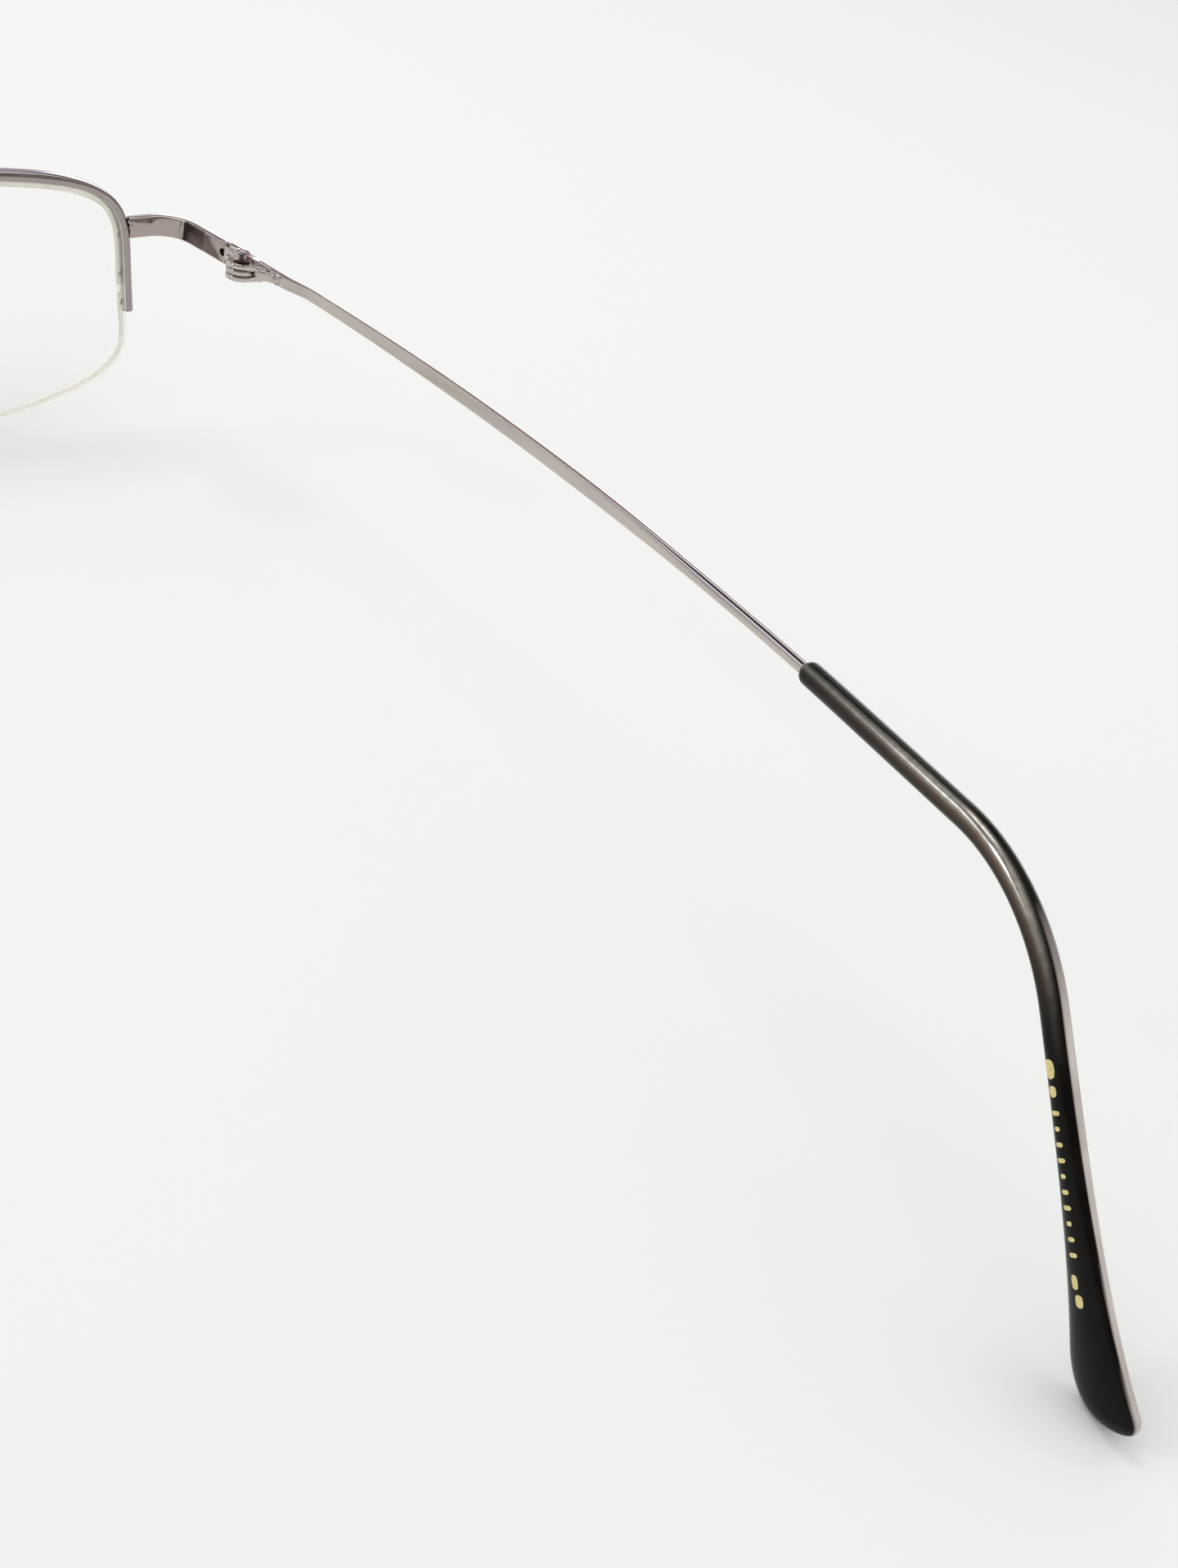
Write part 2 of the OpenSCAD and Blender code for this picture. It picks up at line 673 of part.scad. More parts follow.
// Tip: a moulded sleeve with a blind bore for the wire, flared to a flat end
module temple_tip() {
    wire_end = tip_end - wire_short;
    bore = wire_dia / 2 + fit_gap;
    places = concat(
        [tip_start + 0.04, tip_start + 0.25, tip_start + 0.9],
        [(tip_start + bow_end) / 2, bow_end, (bow_end + bend_start) / 2],
        [for (i = [0 : 8]) bend_start + bend_len * i / 8],
        [for (i = [1 : 6]) mix(bend_end, tip_end - fore_round * 1.2, i / 7)],
        [for (k = [1, 0.84, 0.68, 0.52, 0.38, 0.26]) tip_end - fore_round * 1.2 * k],
        [for (k = [0.75, 0.5, 0.25, 0.1, 0.02]) tip_end - rear_round * k]
    );
    bore_places = concat(
        [tip_start - 0.5, bow_end, (bow_end + bend_start) / 2],
        [for (i = [0 : 8]) bend_start + bend_len * i / 8],
        [(bend_end + wire_end) / 2, wire_end + 0.3]
    );
    color(sleeve)
    difference() {
        skin([
            for (s = places)
            bar_ring(tip_middle(s), temple_side(s), temple_up(s), tip_half_t(s), tip_half_w(s), 1, 16)
        ]);
        skin([
            for (s = bore_places)
            bar_ring(temple_point(s), temple_side(s), temple_up(s), bore, bore, 1, 12)
        ]);
    }
}

// Pad arm: a wire from the back of the rim, down and back to the pad box
arm_steps = 14;
module pad_arm() {
    foot = on_front(170, 0.35, rim_back + seat_gap);
    back = unit(on_front(170, 0.35, rim_back + 1) - on_front(170, 0.35, rim_back));
    box_back = pad_to_frame([box_d + seat_gap - 0.5, 0, 0]);
    into = unit(pad_to_frame([-1, 0, 0]) - pad_to_frame([0, 0, 0]));
    curve = [foot, foot + 4.5 * back, box_back - 4.2 * into, box_back];
    color(metal)
    skin([
        for (i = [0 : arm_steps])
        let (
            t = i / arm_steps,
            d = i == 0 ? back : i == arm_steps ? into : bezier_dir(curve, t),
            across = unit(cross(d, [1, 0, 0.3])),
            up = cross(across, d)
        )
        bar_ring(bezier(curve, t), across, up, arm_dia / 2, arm_dia / 2, 1, 8)
    ]);
}

// Pad box: a small cup on the arm that takes the pad's tab and its screw
box_back_x = box_d - 0.5;
module pad_box() {
    color(metal)
    at_pad()
    difference() {
        translate([-0.5, -box_w / 2, -box_h / 2]) cube([box_d, box_w, box_h]);
        translate([-1, -box_w / 2 + box_wall, -box_h / 2 + box_wall])
        cube([box_back_x + 1 - box_wall, box_w - 2 * box_wall, box_h - 2 * box_wall]);
        rotate([90, 0, 0])
        cylinder(r = pad_screw_r + screw_clear, h = box_w + 2, center = true, $fn = 32);
    }
}

// Pad screw: through the box and the pad's tab, its head to the back
module pad_screw() {
    head = 0.45;
    color(steel)
    at_pad()
    difference() {
        union() {
            translate([0, -box_w / 2, 0]) rotate([-90, 0, 0])
            cylinder(r = pad_screw_r, h = box_w + 0.2, $fn = 32);
            translate([0, box_w / 2 + seat_gap, 0]) rotate([-90, 0, 0])
            cylinder(r = 2 * pad_screw_r, h = head, $fn = 48);
        }
        translate([-1, box_w / 2 + seat_gap + head - 0.18, -0.1]) cube([2, 1, 0.2]);
    }
}

// Pad core: the stiff tab that the screw passes, and the plate inside the pad
tab_w = box_w - 2 * box_wall - 2 * fit_gap;
tab_r = 0.8;
core_x = -1.5;
core_t = 0.5;
core_l = 6.5;
core_w = 3.4;
module pad_core() {
    color(nylon)
    at_pad()
    difference() {
        union() {
            rotate([90, 0, 0]) cylinder(r = tab_r, h = tab_w, center = true, $fn = 48);
            translate([core_x, -tab_w / 2, -tab_r]) cube([-core_x, tab_w, 2 * tab_r]);
            translate([core_x - core_t, -core_w / 2, -core_l / 2]) cube([core_t, core_w, core_l]);
        }
        rotate([90, 0, 0])
        cylinder(r = pad_screw_r + screw_clear, h = box_w, center = true, $fn = 32);
    }
}

// Nose pad: a soft oval cushion round the core's plate, crowned on its nose side
module nose_pad() {
    back_x = core_x + 0.35;
    levels = [
        [0.0, 0.86], [0.35, 0.97], [0.9, 1.0], [1.5, 0.93], [2.05, 0.76], [2.4, 0.52], [2.6, 0.2]
    ];
    color(silicone)
    at_pad()
    difference() {
        skin([
            for (q = levels)
            [
                for (i = [0 : 23])
                let (t = i * 15, bulge = 1 + 0.06 * sin(t))
                [
                    back_x - q[0] * pad_t / 2.6,
                    -pad_w / 2 * q[1] * cos(t) * (1 - 0.1 * sin(t)),
                    -pad_l / 2 * q[1] * sin(t) * bulge
                ]
            ]
        ]);
        translate([core_x - core_t - fit_gap, -core_w / 2 - fit_gap, -core_l / 2 - fit_gap])
        cube([core_t + 2 * fit_gap, core_w + 2 * fit_gap, core_l + 2 * fit_gap]);
        translate([core_x - fit_gap, -tab_w / 2 - fit_gap, -tab_r - fit_gap])
        cube([2, tab_w + 2 * fit_gap, 2 * tab_r + 2 * fit_gap]);
    }
}

left() rim();  // rim_left
right() rim();  // rim_right
on_table() bridge();
left() lens();  // lens_left
right() lens();  // lens_right
left() rim_liner();  // rim_liner_left
right() rim_liner();  // rim_liner_right
left() lens_cord();  // lens_cord_left
right() lens_cord();  // lens_cord_right
left() end_piece();  // end_piece_left
right() end_piece();  // end_piece_right
left() hinge_front_leaf();  // hinge_front_leaf_left
right() hinge_front_leaf();  // hinge_front_leaf_right
left() hinge_temple_leaf();  // hinge_temple_leaf_left
right() hinge_temple_leaf();  // hinge_temple_leaf_right
left() hinge_screw();  // hinge_screw_left
right() hinge_screw();  // hinge_screw_right
left() temple();  // temple_left
right() temple();  // temple_right
left() temple_tip();  // temple_tip_left
right() temple_tip();  // temple_tip_right
left() pad_arm();  // pad_arm_left
right() pad_arm();  // pad_arm_right
left() pad_box();  // pad_box_left
right() pad_box();  // pad_box_right
left() pad_screw();  // pad_screw_left
right() pad_screw();  // pad_screw_right
left() pad_core();  // pad_core_left
right() pad_core();  // pad_core_right
left() nose_pad();  // nose_pad_left
right() nose_pad();  // nose_pad_right
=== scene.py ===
import math

import bmesh
import bpy
import numpy as np
from mathutils import Euler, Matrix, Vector


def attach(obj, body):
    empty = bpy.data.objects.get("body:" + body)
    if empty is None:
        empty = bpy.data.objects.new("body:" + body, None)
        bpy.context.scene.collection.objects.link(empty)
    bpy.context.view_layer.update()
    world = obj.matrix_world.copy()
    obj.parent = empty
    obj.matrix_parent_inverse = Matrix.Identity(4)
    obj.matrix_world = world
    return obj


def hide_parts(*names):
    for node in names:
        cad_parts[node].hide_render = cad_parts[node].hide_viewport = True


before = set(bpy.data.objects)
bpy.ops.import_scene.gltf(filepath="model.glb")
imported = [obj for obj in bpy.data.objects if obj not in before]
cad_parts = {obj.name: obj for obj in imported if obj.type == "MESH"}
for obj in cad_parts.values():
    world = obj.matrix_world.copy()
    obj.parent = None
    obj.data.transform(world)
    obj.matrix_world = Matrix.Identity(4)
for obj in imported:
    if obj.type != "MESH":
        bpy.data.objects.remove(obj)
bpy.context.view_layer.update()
scene = bpy.context.scene


def in_scene(name, data):
    """A new object of the scene."""
    ob = bpy.data.objects.new(name, data)
    scene.collection.objects.link(ob)
    return ob


# ---- camera
view = bpy.data.cameras.new("view")
view.sensor_fit = "VERTICAL"
view.sensor_height = 36
view.lens = 51.97
view.clip_start = 0.005
camera = in_scene("camera", view)
camera.location = (0.04625, 0.11437, 0.09781)
camera.rotation_euler = Euler([math.radians(a) for a in (57.569, -10.5263, 140.8037)])
scene.camera = camera
scene.view_settings.view_transform = "Standard"

# ---- sizes
# In millimetres and degrees, as in the CAD source
LENS_HALF, LENS_UP, LENS_DOWN, LENS_T, FACE_R = 27.5, 13.2, 10.8, 1.7, 125
TOP_OUTER, LOW_OUTER, TOP_NOSE, LOW_NOSE = 7.3, 3.7, 4, 2.8
CROWN, BELLY, SIDE_LEAN = 0.7, 3.4, 0.001
GROOVE_D, GROOVE_W = 0.5, 0.8
LEAN, WRAP, BAR_ABOVE_LENS, LENS_X = 7.6, 4, 8.6, 36
RIM_T, RIM_SIDE_T, RIM_D = 1.04, 0.92, 1.9
RIM_END_OUTER, RIM_END_NOSE = 0.5, 1
CORD_R, FIT_GAP, SEAT_GAP = 0.21, 0.04, 0.03
BRIDGE_ANGLE, ARM_ANGLE, CORD_TUCK_ANGLE = 162, 170, 5
BRIDGE_H, BRIDGE_D, BRIDGE_RISE, BRIDGE_FORWARD = 1.9, 1.3, 1.6, 1.6
END_H, END_T, END_BEND_R, END_TOP, END_AHEAD = 1.9, 1.04, 3.7, 0.82, 0.65
END_SLOPE, END_FORWARD, END_SPLAY, END_SUNK = 1.6, 2.6, 4.4, 0.42
PIN = np.array([67.7, 13.1, -0.12])
KNUCKLE_R, KNUCKLE_H, KNUCKLE_GAP, PLATE_OUT = 1.4, 1.66, 0.05, 0.15
SCREW_R, HEAD_R, HEAD_H, SCREW_CLEAR = 0.55, 0.85, 0.95, 0.03
SLOT_W, SLOT_DEEP, SLOT_TURN = 0.46, 0.6, 124
LEAF_T, LEAF_LEN, JOINT_AHEAD = 0.6, 2.9, 1.7
TEMPLE_LEN, TAIL_LEN, TIP_LEN, BOW_SHORT = 141.8, 39.5, 59, 13.6
PLATE_T, PLATE_H, PLATE_LEN, NECK_LEN = 0.8, 1.02, 4.2, 4
BAR_T, BAR_H, WIRE_DIA, BAR_OUT, BAR_SPLAY, BOW_R = 0.5, 1.2, 0.95, 0.43, -0.95, 385
BEND_R, BEND_ANGLE = 14.5, 56
TIP_DIA, PADDLE_W, PADDLE_T, END_BIAS = 1.8, 5.4, 1.6, 0.55
FORE_ROUND, REAR_ROUND, WIRE_SHORT, TIP_ROUND = 5, 1.3, 9, 48
PAD_L, PAD_W, PAD_T, PAD_AT = 13, 7.4, 2.6, np.array([11.3, 4.6, -9.4])
PAD_SPLAY, PAD_SLANT, ARM_DIA = 26, 18, 1.0
BOX_W, BOX_H, BOX_D, BOX_WALL, PIN_IN_BOX = 2.3, 2.9, 2.2, 0.42, 0.5
PAD_SCREW_R, PAD_HEAD_H = 0.36, 0.45
TAB_R, CORE_X, CORE_T, CORE_L, CORE_W, CORE_SUNK = 0.8, -1.5, 0.5, 6.5, 3.4, 0.35
# The pose on the table: pitch, then the height and the depth that are taken off
REST_PITCH, FLOOR_Z, MIDDLE_Y = 2.90799, -20.1851, 67.8394


def rad(a):
    return a * math.pi / 180


def mix(a, b, k):
    return a + (b - a) * k


def ease(k):
    t = np.clip(k, 0, 1)
    return t * t * (3 - 2 * t)


def quarter(k):
    t = np.clip(k, 0, 1)
    return np.sqrt(1 - t * t)


def circle(n):
    """n angles round a full turn."""
    return np.arange(n) * 2 * math.pi / n


def unit(v):
    v = np.asarray(v, float)
    return v / np.linalg.norm(v)


def turn(p, axis, angle):
    """Points p turned about x, y or z by an angle in degrees."""
    c, s = math.cos(rad(angle)), math.sin(rad(angle))
    x, y, z = np.moveaxis(np.asarray(p, float), -1, 0)
    if axis == "x":
        out = (x, y * c - z * s, y * s + z * c)
    elif axis == "y":
        out = (x * c + z * s, y, -x * s + z * c)
    else:
        out = (x * c - y * s, x * s + y * c, z)
    return np.stack(out, -1)


def on_table(p):
    """Wearing frame in millimetres to the shared frame in metres."""
    return (turn(p, "x", REST_PITCH) - [0, MIDDLE_Y, FLOOR_Z]) / 1000


# ---- lens and rim outline
def lens_point(angle):
    """The lens's outline at polar angles: one rounded quarter for each corner."""
    a = np.radians(np.asarray(angle, float))
    c, s = np.cos(a), np.sin(a)
    high = np.where(s > 0, LENS_UP, LENS_DOWN)
    square = np.where(
        s > 0, np.where(c > 0, TOP_OUTER, TOP_NOSE), np.where(c > 0, LOW_OUTER, LOW_NOSE)
    )
    r = ((abs(c) / LENS_HALF) ** square + (abs(s) / high) ** square) ** (-1 / square)
    u, v = r * c, r * s
    drop = np.where(s > 0, CROWN / LENS_UP, BELLY / LENS_DOWN)
    return np.stack([u * (1 - SIDE_LEAN * v), v * (1 - drop * (u / LENS_HALF) ** 2)], -1)


def grown(angle, by):
    """The outline moved outwards by a distance."""
    d = lens_point(np.asarray(angle) + 0.2) - lens_point(np.asarray(angle) - 0.2)
    n = np.stack([d[..., 1], -d[..., 0]], -1)
    n /= np.linalg.norm(n, axis=-1, keepdims=True)
    return lens_point(angle) + np.asarray(by)[..., None] * n


side_back = LENS_HALF * math.sin(rad(WRAP)) + (
    LENS_HALF**2 / (2 * FACE_R) + LENS_T / 2
) * math.cos(rad(WRAP))
LENS_CENTRE = np.array(
    [LENS_X, -side_back * math.cos(rad(LEAN)), -BAR_ABOVE_LENS - side_back * math.sin(rad(LEAN))]
)


def lens_to_frame(p):
    return LENS_CENTRE + turn(turn(p, "z", WRAP), "x", LEAN)


def bowl(p, w):
    """Outline points p carried onto the curved front, back by w along the lens axis."""
    p = np.asarray(p, float)
    sag = FACE_R - np.sqrt(FACE_R**2 - (p**2).sum(-1))
    return lens_to_frame(np.stack([p[..., 0], sag + w, p[..., 1]], -1))


def on_front(angle, by, w):
    """The place that lies by outside the outline and w behind the lens's front face."""
    angle, by, w = np.broadcast_arrays(np.asarray(angle, float), by, w)
    return bowl(grown(angle, by), w)


def spread(t):
    """Polar angles that lie closer together round the lens's corners."""
    t = np.asarray(t, float) % 360
    k = np.floor(t / 90)
    rest = t - 90 * k
    high = np.where(t < 180, LENS_UP, LENS_DOWN)

    def part(x):
        x = np.minimum(x, 89.9)
        return np.degrees(np.arctan(high / LENS_HALF * np.tan(np.radians(x)) ** 0.6))

    return np.where(k % 2 == 0, 90 * k + part(rest), 90 * (k + 1) - part(90 - rest))


def rim_at(angle):
    """How thick the rim is: thinner down the sides."""
    side = np.minimum(angle, 180 - np.asarray(angle))
    return mix(RIM_SIDE_T, RIM_T, ease((side - 8) / 25))


# ---- temple line
BEND_START = TEMPLE_LEN - TAIL_LEN
BOW_END = BEND_START - BOW_SHORT
TIP_START = TEMPLE_LEN - TIP_LEN
BEND_LEN = rad(BEND_R * BEND_ANGLE)
BEND_END = BEND_START + BEND_LEN
PLATE_X = PIN[0] + KNUCKLE_R + PLATE_OUT + PLATE_T / 2
NECK_END = PLATE_LEN + NECK_LEN
SWELL_START, SWELL_END = BEND_END - 1.5, TEMPLE_LEN - 3


def heading(s):
    return 0 if s < NECK_END else rad(BAR_SPLAY) - (min(s, BOW_END) - NECK_END) / BOW_R


def droop(s):
    return min(max((s - BEND_START) / BEND_R, 0), rad(BEND_ANGLE))


def bow_point(s):
    a, b = heading(s), rad(BAR_SPLAY)
    return np.array([
        PLATE_X + BAR_OUT + BOW_R * (math.cos(a) - math.cos(b)),
        PIN[1] + NECK_END + BOW_R * (math.sin(b) - math.sin(a)),
        0,
    ])


def temple_point(s):
    """The temple's middle line at s from the hinge pin: plate, neck, bow, ear bend and tail."""
    if s < NECK_END:
        out = BAR_OUT * ease((s - PLATE_LEN) / NECK_LEN)
        return np.array([PLATE_X + out, PIN[1] + s, 0])
    if s < BOW_END:
        return bow_point(s)
    a, b = heading(s), droop(s)
    ahead = np.array([math.sin(a), math.cos(a), 0])
    if s < BEND_START:
        return bow_point(BOW_END) + (s - BOW_END) * ahead
    rest = max(s - BEND_END, 0)
    return (
        bow_point(BOW_END)
        + BOW_SHORT * ahead
        + ahead * (BEND_R * math.sin(b) + rest * math.cos(b))
        - np.array([0, 0, BEND_R * (1 - math.cos(b)) + rest * math.sin(b)])
    )


def temple_side(s):
    return np.array([math.cos(heading(s)), -math.sin(heading(s)), 0])


def temple_up(s):
    a, b = heading(s), droop(s)
    return np.array([math.sin(a) * math.sin(b), math.cos(a) * math.sin(b), math.cos(b)])


def tip_swell(s):
    return min(max((s - SWELL_START) / (SWELL_END - SWELL_START), 0), 1.1) ** 3


def tip_shape(s):
    """Middle of the tip's section, its half thickness and its half width."""
    front = quarter(1 - (s - TIP_START) / (TIP_DIA / 2))
    w = mix(TIP_DIA, PADDLE_W, tip_swell(s)) / 2 * front
    end = quarter((s - TEMPLE_LEN + REAR_ROUND) / REAR_ROUND)
    rear = w * mix(END_BIAS, 1, end)
    fore = w * mix(-END_BIAS, 1, quarter((s - TEMPLE_LEN + FORE_ROUND) / FORE_ROUND))
    half_t = mix(TIP_DIA, PADDLE_T, tip_swell(s)) / 2 * front * end
    return temple_point(s) + (rear - fore) / 2 * temple_up(s), half_t, (rear + fore) / 2


def bar_ring(at, side, up, a, b, power, n):
    """A ring of n points: power 1 is an ellipse, a smaller one comes near a box."""
    t = (np.arange(n) + 0.5) * 2 * math.pi / n
    c, s = np.cos(t), np.sin(t)
    cc = (np.sign(c) * abs(c) ** power)[:, None]
    ss = (np.sign(s) * abs(s) ** power)[:, None]
    return at + side * a * cc + up * b * ss


# ---- mesh tools
def loft(rings, caps=True):
    """A tube through rings of equal length."""
    rings = np.asarray(rings, float)
    m, n = rings.shape[:2]
    faces = []
    for i in range(m - 1):
        for j in range(n):
            k = (j + 1) % n
            faces.append((i * n + j, i * n + k, (i + 1) * n + k, (i + 1) * n + j))
    if caps:
        faces.append(tuple(range(n))[::-1])
        faces.append(tuple((m - 1) * n + j for j in range(n)))
    return rings.reshape(-1, 3), faces


def merge(*parts):
    verts, faces, base = [], [], 0
    for v, f in parts:
        verts.append(np.asarray(v, float).reshape(-1, 3))
        faces += [tuple(base + i for i in face) for face in f]
        base += len(verts[-1])
    return np.concatenate(verts), faces


def placed(part, move):
    return move(np.asarray(part[0], float)), part[1]


def lathe(profile, n):
    """A closed solid of revolution about z from (radius, height) points, bottom to top."""
    t = circle(n)
    rings = [np.stack([r * np.cos(t), r * np.sin(t), np.full(n, z)], -1) for r, z in profile]
    return loft(rings)


def ring_lathe(profile, n):
    """A ring of revolution about z, whose section is the closed profile."""
    turns = [*circle(n), 0]
    rings = [[[r * math.cos(a), r * math.sin(a), z] for r, z in profile] for a in turns]
    return loft(rings, caps=False)


def prism(outline, low, high):
    n = len(outline)
    verts = [[x, y, low] for x, y in outline] + [[x, y, high] for x, y in outline]
    faces = [tuple(range(n))[::-1], tuple(range(n, 2 * n))]
    faces += [(j, (j + 1) % n, n + (j + 1) % n, n + j) for j in range(n)]
    return np.array(verts, float), faces


def brick(low, high):
    return prism([(low[0], low[1]), (high[0], low[1]), (high[0], high[1]), (low[0], high[1])],
                 low[2], high[2])


def rounded(outline, r, steps=5):
    """The outline with its corners turned into short curves."""
    out = []
    n = len(outline)
    for i in range(n):
        a, b, c = (np.asarray(outline[(i + k) % n], float) for k in (-1, 0, 1))
        reach = min(r, 0.45 * np.linalg.norm(a - b), 0.45 * np.linalg.norm(c - b))
        p, q = b + reach * unit(a - b), b + reach * unit(c - b)
        for t in np.linspace(0, 1, steps + 1):
            out.append((1 - t) ** 2 * p + 2 * t * (1 - t) * b + t * t * q)
    return np.array(out)


def soft_prism(outline, low, high, r, e):
    """A prism with corners rounded by r and rims softened by e."""
    line = rounded(outline, r)
    ahead = np.roll(line, -1, 0) - np.roll(line, 1, 0)
    normal = np.stack([ahead[:, 1], -ahead[:, 0]], -1)
    normal /= np.linalg.norm(normal, axis=1, keepdims=True)
    x, y = line.T
    normal *= np.sign((x * np.roll(y, -1) - np.roll(x, -1) * y).sum())
    turns = [(e + 0.04, 0), (e, 0), (0.3 * e, 0.3 * e), (0, e)]
    levels = [(inset, low + up) for inset, up in turns]
    levels += [(inset, high - up) for inset, up in turns[::-1]]
    return loft([
        np.column_stack([line - normal * inset, np.full(len(line), z)]) for inset, z in levels
    ])


def bead(at, axes, radii):
    """A small smooth blob with its own axes."""
    rows, n = 9, 18
    t = circle(n)
    rings = []
    for i in range(1, rows):
        b = math.pi * i / rows - math.pi / 2
        c = math.cos(b)
        q = np.stack([c * np.cos(t), c * np.sin(t), np.full(n, math.sin(b))], -1)
        rings.append(np.asarray(at) + (q * radii) @ np.asarray(axes, float))
    return loft(rings)


def mesh_from(part, name="work", patch=(), tones=None):
    """A mesh of the part: patch lists faces of the second material, tones has point values."""
    mesh = bpy.data.meshes.new(name)
    mesh.from_pydata(np.asarray(part[0], float).tolist(), [], part[1])
    for i in patch:
        mesh.polygons[i].material_index = 1
    for key, values in (tones or {}).items():
        layer = mesh.attributes.new(key, "FLOAT", "POINT")
        layer.data.foreach_set("value", np.asarray(values, np.float32).ravel())
    work = bmesh.new()
    work.from_mesh(mesh)
    bmesh.ops.remove_doubles(work, verts=work.verts, dist=1e-7)
    bmesh.ops.recalc_face_normals(work, faces=work.faces)
    work.to_mesh(mesh)
    work.free()
    return mesh


def cut(part, *cutters):
    """A solid less others, worked out at millimetre size near the origin."""
    made = [in_scene("work", mesh_from(p)) for p in (part,) + cutters]
    for cutter in made[1:]:
        step = made[0].modifiers.new("cut", "BOOLEAN")
        step.operation, step.object, step.solver = "DIFFERENCE", cutter, "EXACT"
    graph = bpy.context.evaluated_depsgraph_get()
    result = made[0].evaluated_get(graph).to_mesh()
    verts = np.array([v.co for v in result.vertices])
    faces = [tuple(f.vertices) for f in result.polygons]
    made[0].evaluated_get(graph).to_mesh_clear()
    for o in made:
        bpy.data.objects.remove(o)
    return verts, faces


def piece(
    name, part, body, slot, material, nodes=(), side=1, sharp=32, bevel=0, cuts=2,
    second=None, patch=(), tones=None,
):
    """One piece of the glasses, mirrored for side -1, set on the table and put on its body."""
    verts = on_table(np.asarray(part[0], float) * [side, 1, 1])
    mesh = mesh_from((verts, part[1]), name, patch, tones)
    mesh.shade_smooth()
    mesh.set_sharp_from_angle(angle=rad(sharp))
    ob = in_scene(name, mesh)
    mesh.materials.append(material)
    if second:
        mesh.materials.append(second)
    if bevel:
        edge = ob.modifiers.new("edges", "BEVEL")
        edge.width, edge.segments = bevel / 1000, cuts
        edge.limit_method, edge.angle_limit = "ANGLE", rad(sharp)
        edge.harden_normals = True
    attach(ob, body)
    if nodes:
        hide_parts(*nodes)


# ---- shader tools
class Tree:
    """Adds nodes to a node tree, so that shader maths reads as Python."""

    def __init__(self, tree):
        self.tree = tree
        tree.nodes.clear()

    def here(self):
        """The place on the object, in metres."""
        return self.node("TexCoord", out="Object")

    def put(self, socket, value):
        if isinstance(value, Link):
            self.tree.links.new(value.socket, socket)
        elif isinstance(value, (tuple, list)) and socket.type == "RGBA":
            socket.default_value = (*value[:3], 1)
        else:
            socket.default_value = value

    def node(self, kind, settings=None, inputs=None, out=0):
        made = self.tree.nodes.new("ShaderNode" + kind)
        for key, value in (settings or {}).items():
            setattr(made, key, value)
        for key, value in (inputs or {}).items():
            self.put(made.inputs[key], value)
        return Link(self, made.outputs[out]) if made.outputs else made

    def math(self, operation, a, b=0.0):
        return self.node("Math", {"operation": operation}, {0: a, 1: b})

    def blend(self, factor, a, b):
        """Colour a at factor 0 and b at factor 1."""
        made = self.tree.nodes.new("ShaderNodeMix")
        made.data_type = "RGBA"
        colour_in = [s for s in made.inputs if s.type == "RGBA"]
        self.put(made.inputs[0], factor)
        self.put(colour_in[0], a)
        self.put(colour_in[1], b)
        return Link(self, [s for s in made.outputs if s.type == "RGBA"][0])

    def noise(self, where, scale, detail=3.0, rough=0.55):
        return self.node(
            "TexNoise",
            {},
            {"Vector": where, "Scale": scale, "Detail": detail, "Roughness": rough},
        )

    def ramp(self, value, low, high, to_low=0.0, to_high=1.0):
        return self.node(
            "MapRange",
            {"interpolation_type": "SMOOTHSTEP"},
            {"Value": value, "From Min": low, "From Max": high, "To Min": to_low,
             "To Max": to_high},
        )

    def stretch(self, where, size):
        return self.node("Mapping", {}, {"Vector": where, "Scale": size})

    def bump(self, height, strength, distance):
        return self.node(
            "Bump", {}, {"Height": height, "Strength": strength, "Distance": distance}
        )

    def ray(self, kind):
        return self.node("LightPath", out=f"Is {kind} Ray")

    def surface(self, shader):
        self.node("OutputMaterial", {}, {"Surface": shader})

    def principled(self, inputs):
        return self.node("BsdfPrincipled", {}, inputs)


class Link:
    """An output socket that takes part in Python expressions."""

    def __init__(self, tree, socket):
        self.tree, self.socket = tree, socket

    def __add__(self, other):
        return self.tree.math("ADD", self, other)

    def __sub__(self, other):
        return self.tree.math("SUBTRACT", self, other)

    def __rsub__(self, other):
        return self.tree.math("SUBTRACT", other, self)

    def __mul__(self, other):
        return self.tree.math("MULTIPLY", self, other)

    __radd__ = __add__


def material(name):
    made = bpy.data.materials.new(name)
    made.use_nodes = True
    return made, Tree(made.node_tree)


# ---- materials
def plated_metal(name, base, warm, rough, scratch, painted_reflection=None):
    """Polished plating: a slow drift of tone, fine rubbing marks and a little dullness.

    Its last argument gives two points and a soft edge, between which a dark reflection is painted
    on the inner face."""
    made, t = material(name)
    here = t.here()
    drift = t.noise(here, 90, 2)
    fine = t.noise(t.stretch(here, (2600, 900, 2600)), 1, 4, 0.6)
    cloud = t.noise(here, 900, 4, 0.6)
    colour = t.blend(t.ramp(drift, 0.35, 0.65), base, warm)
    colour = t.blend(t.ramp(cloud, 0.62, 0.8, 0, 0.25), colour, [c * 0.72 for c in base])
    dull = rough * 0.7 + t.ramp(cloud, 0.3, 0.75) * rough * 0.7 + fine * rough * 0.25
    # Painted reflection: a dark band of colour across the end piece's inner face
    if painted_reflection:
        (x0, y0), (x1, y1), soft = painted_reflection
        across, depth = (t.node("SeparateXYZ", {}, {0: here}, out=k) for k in (0, 1))
        face = (depth - y0) * ((x1 - x0) / (y1 - y0)) + x0
        dark = t.ramp(depth, y0 - soft, y0) * t.ramp(depth, y1, y1 + soft, 1.0, 0.0)
        dark = dark * t.ramp(t.math("ABSOLUTE", across) - face, 0.0002, 0.0003, 1.0, 0.0)
        reflection_colour = t.blend(t.ramp(depth, y0, y1), (0.06, 0.042, 0.038), (0.17, 0.125, 0.12))
        colour = t.blend(dark, colour, reflection_colour)
        dull = dull + dark * 0.12
    t.surface(t.principled({
        "Base Color": colour,
        "Metallic": 1.0,
        "Roughness": dull,
        "Normal": t.bump(fine, scratch, 0.00001),
    }))
    return made
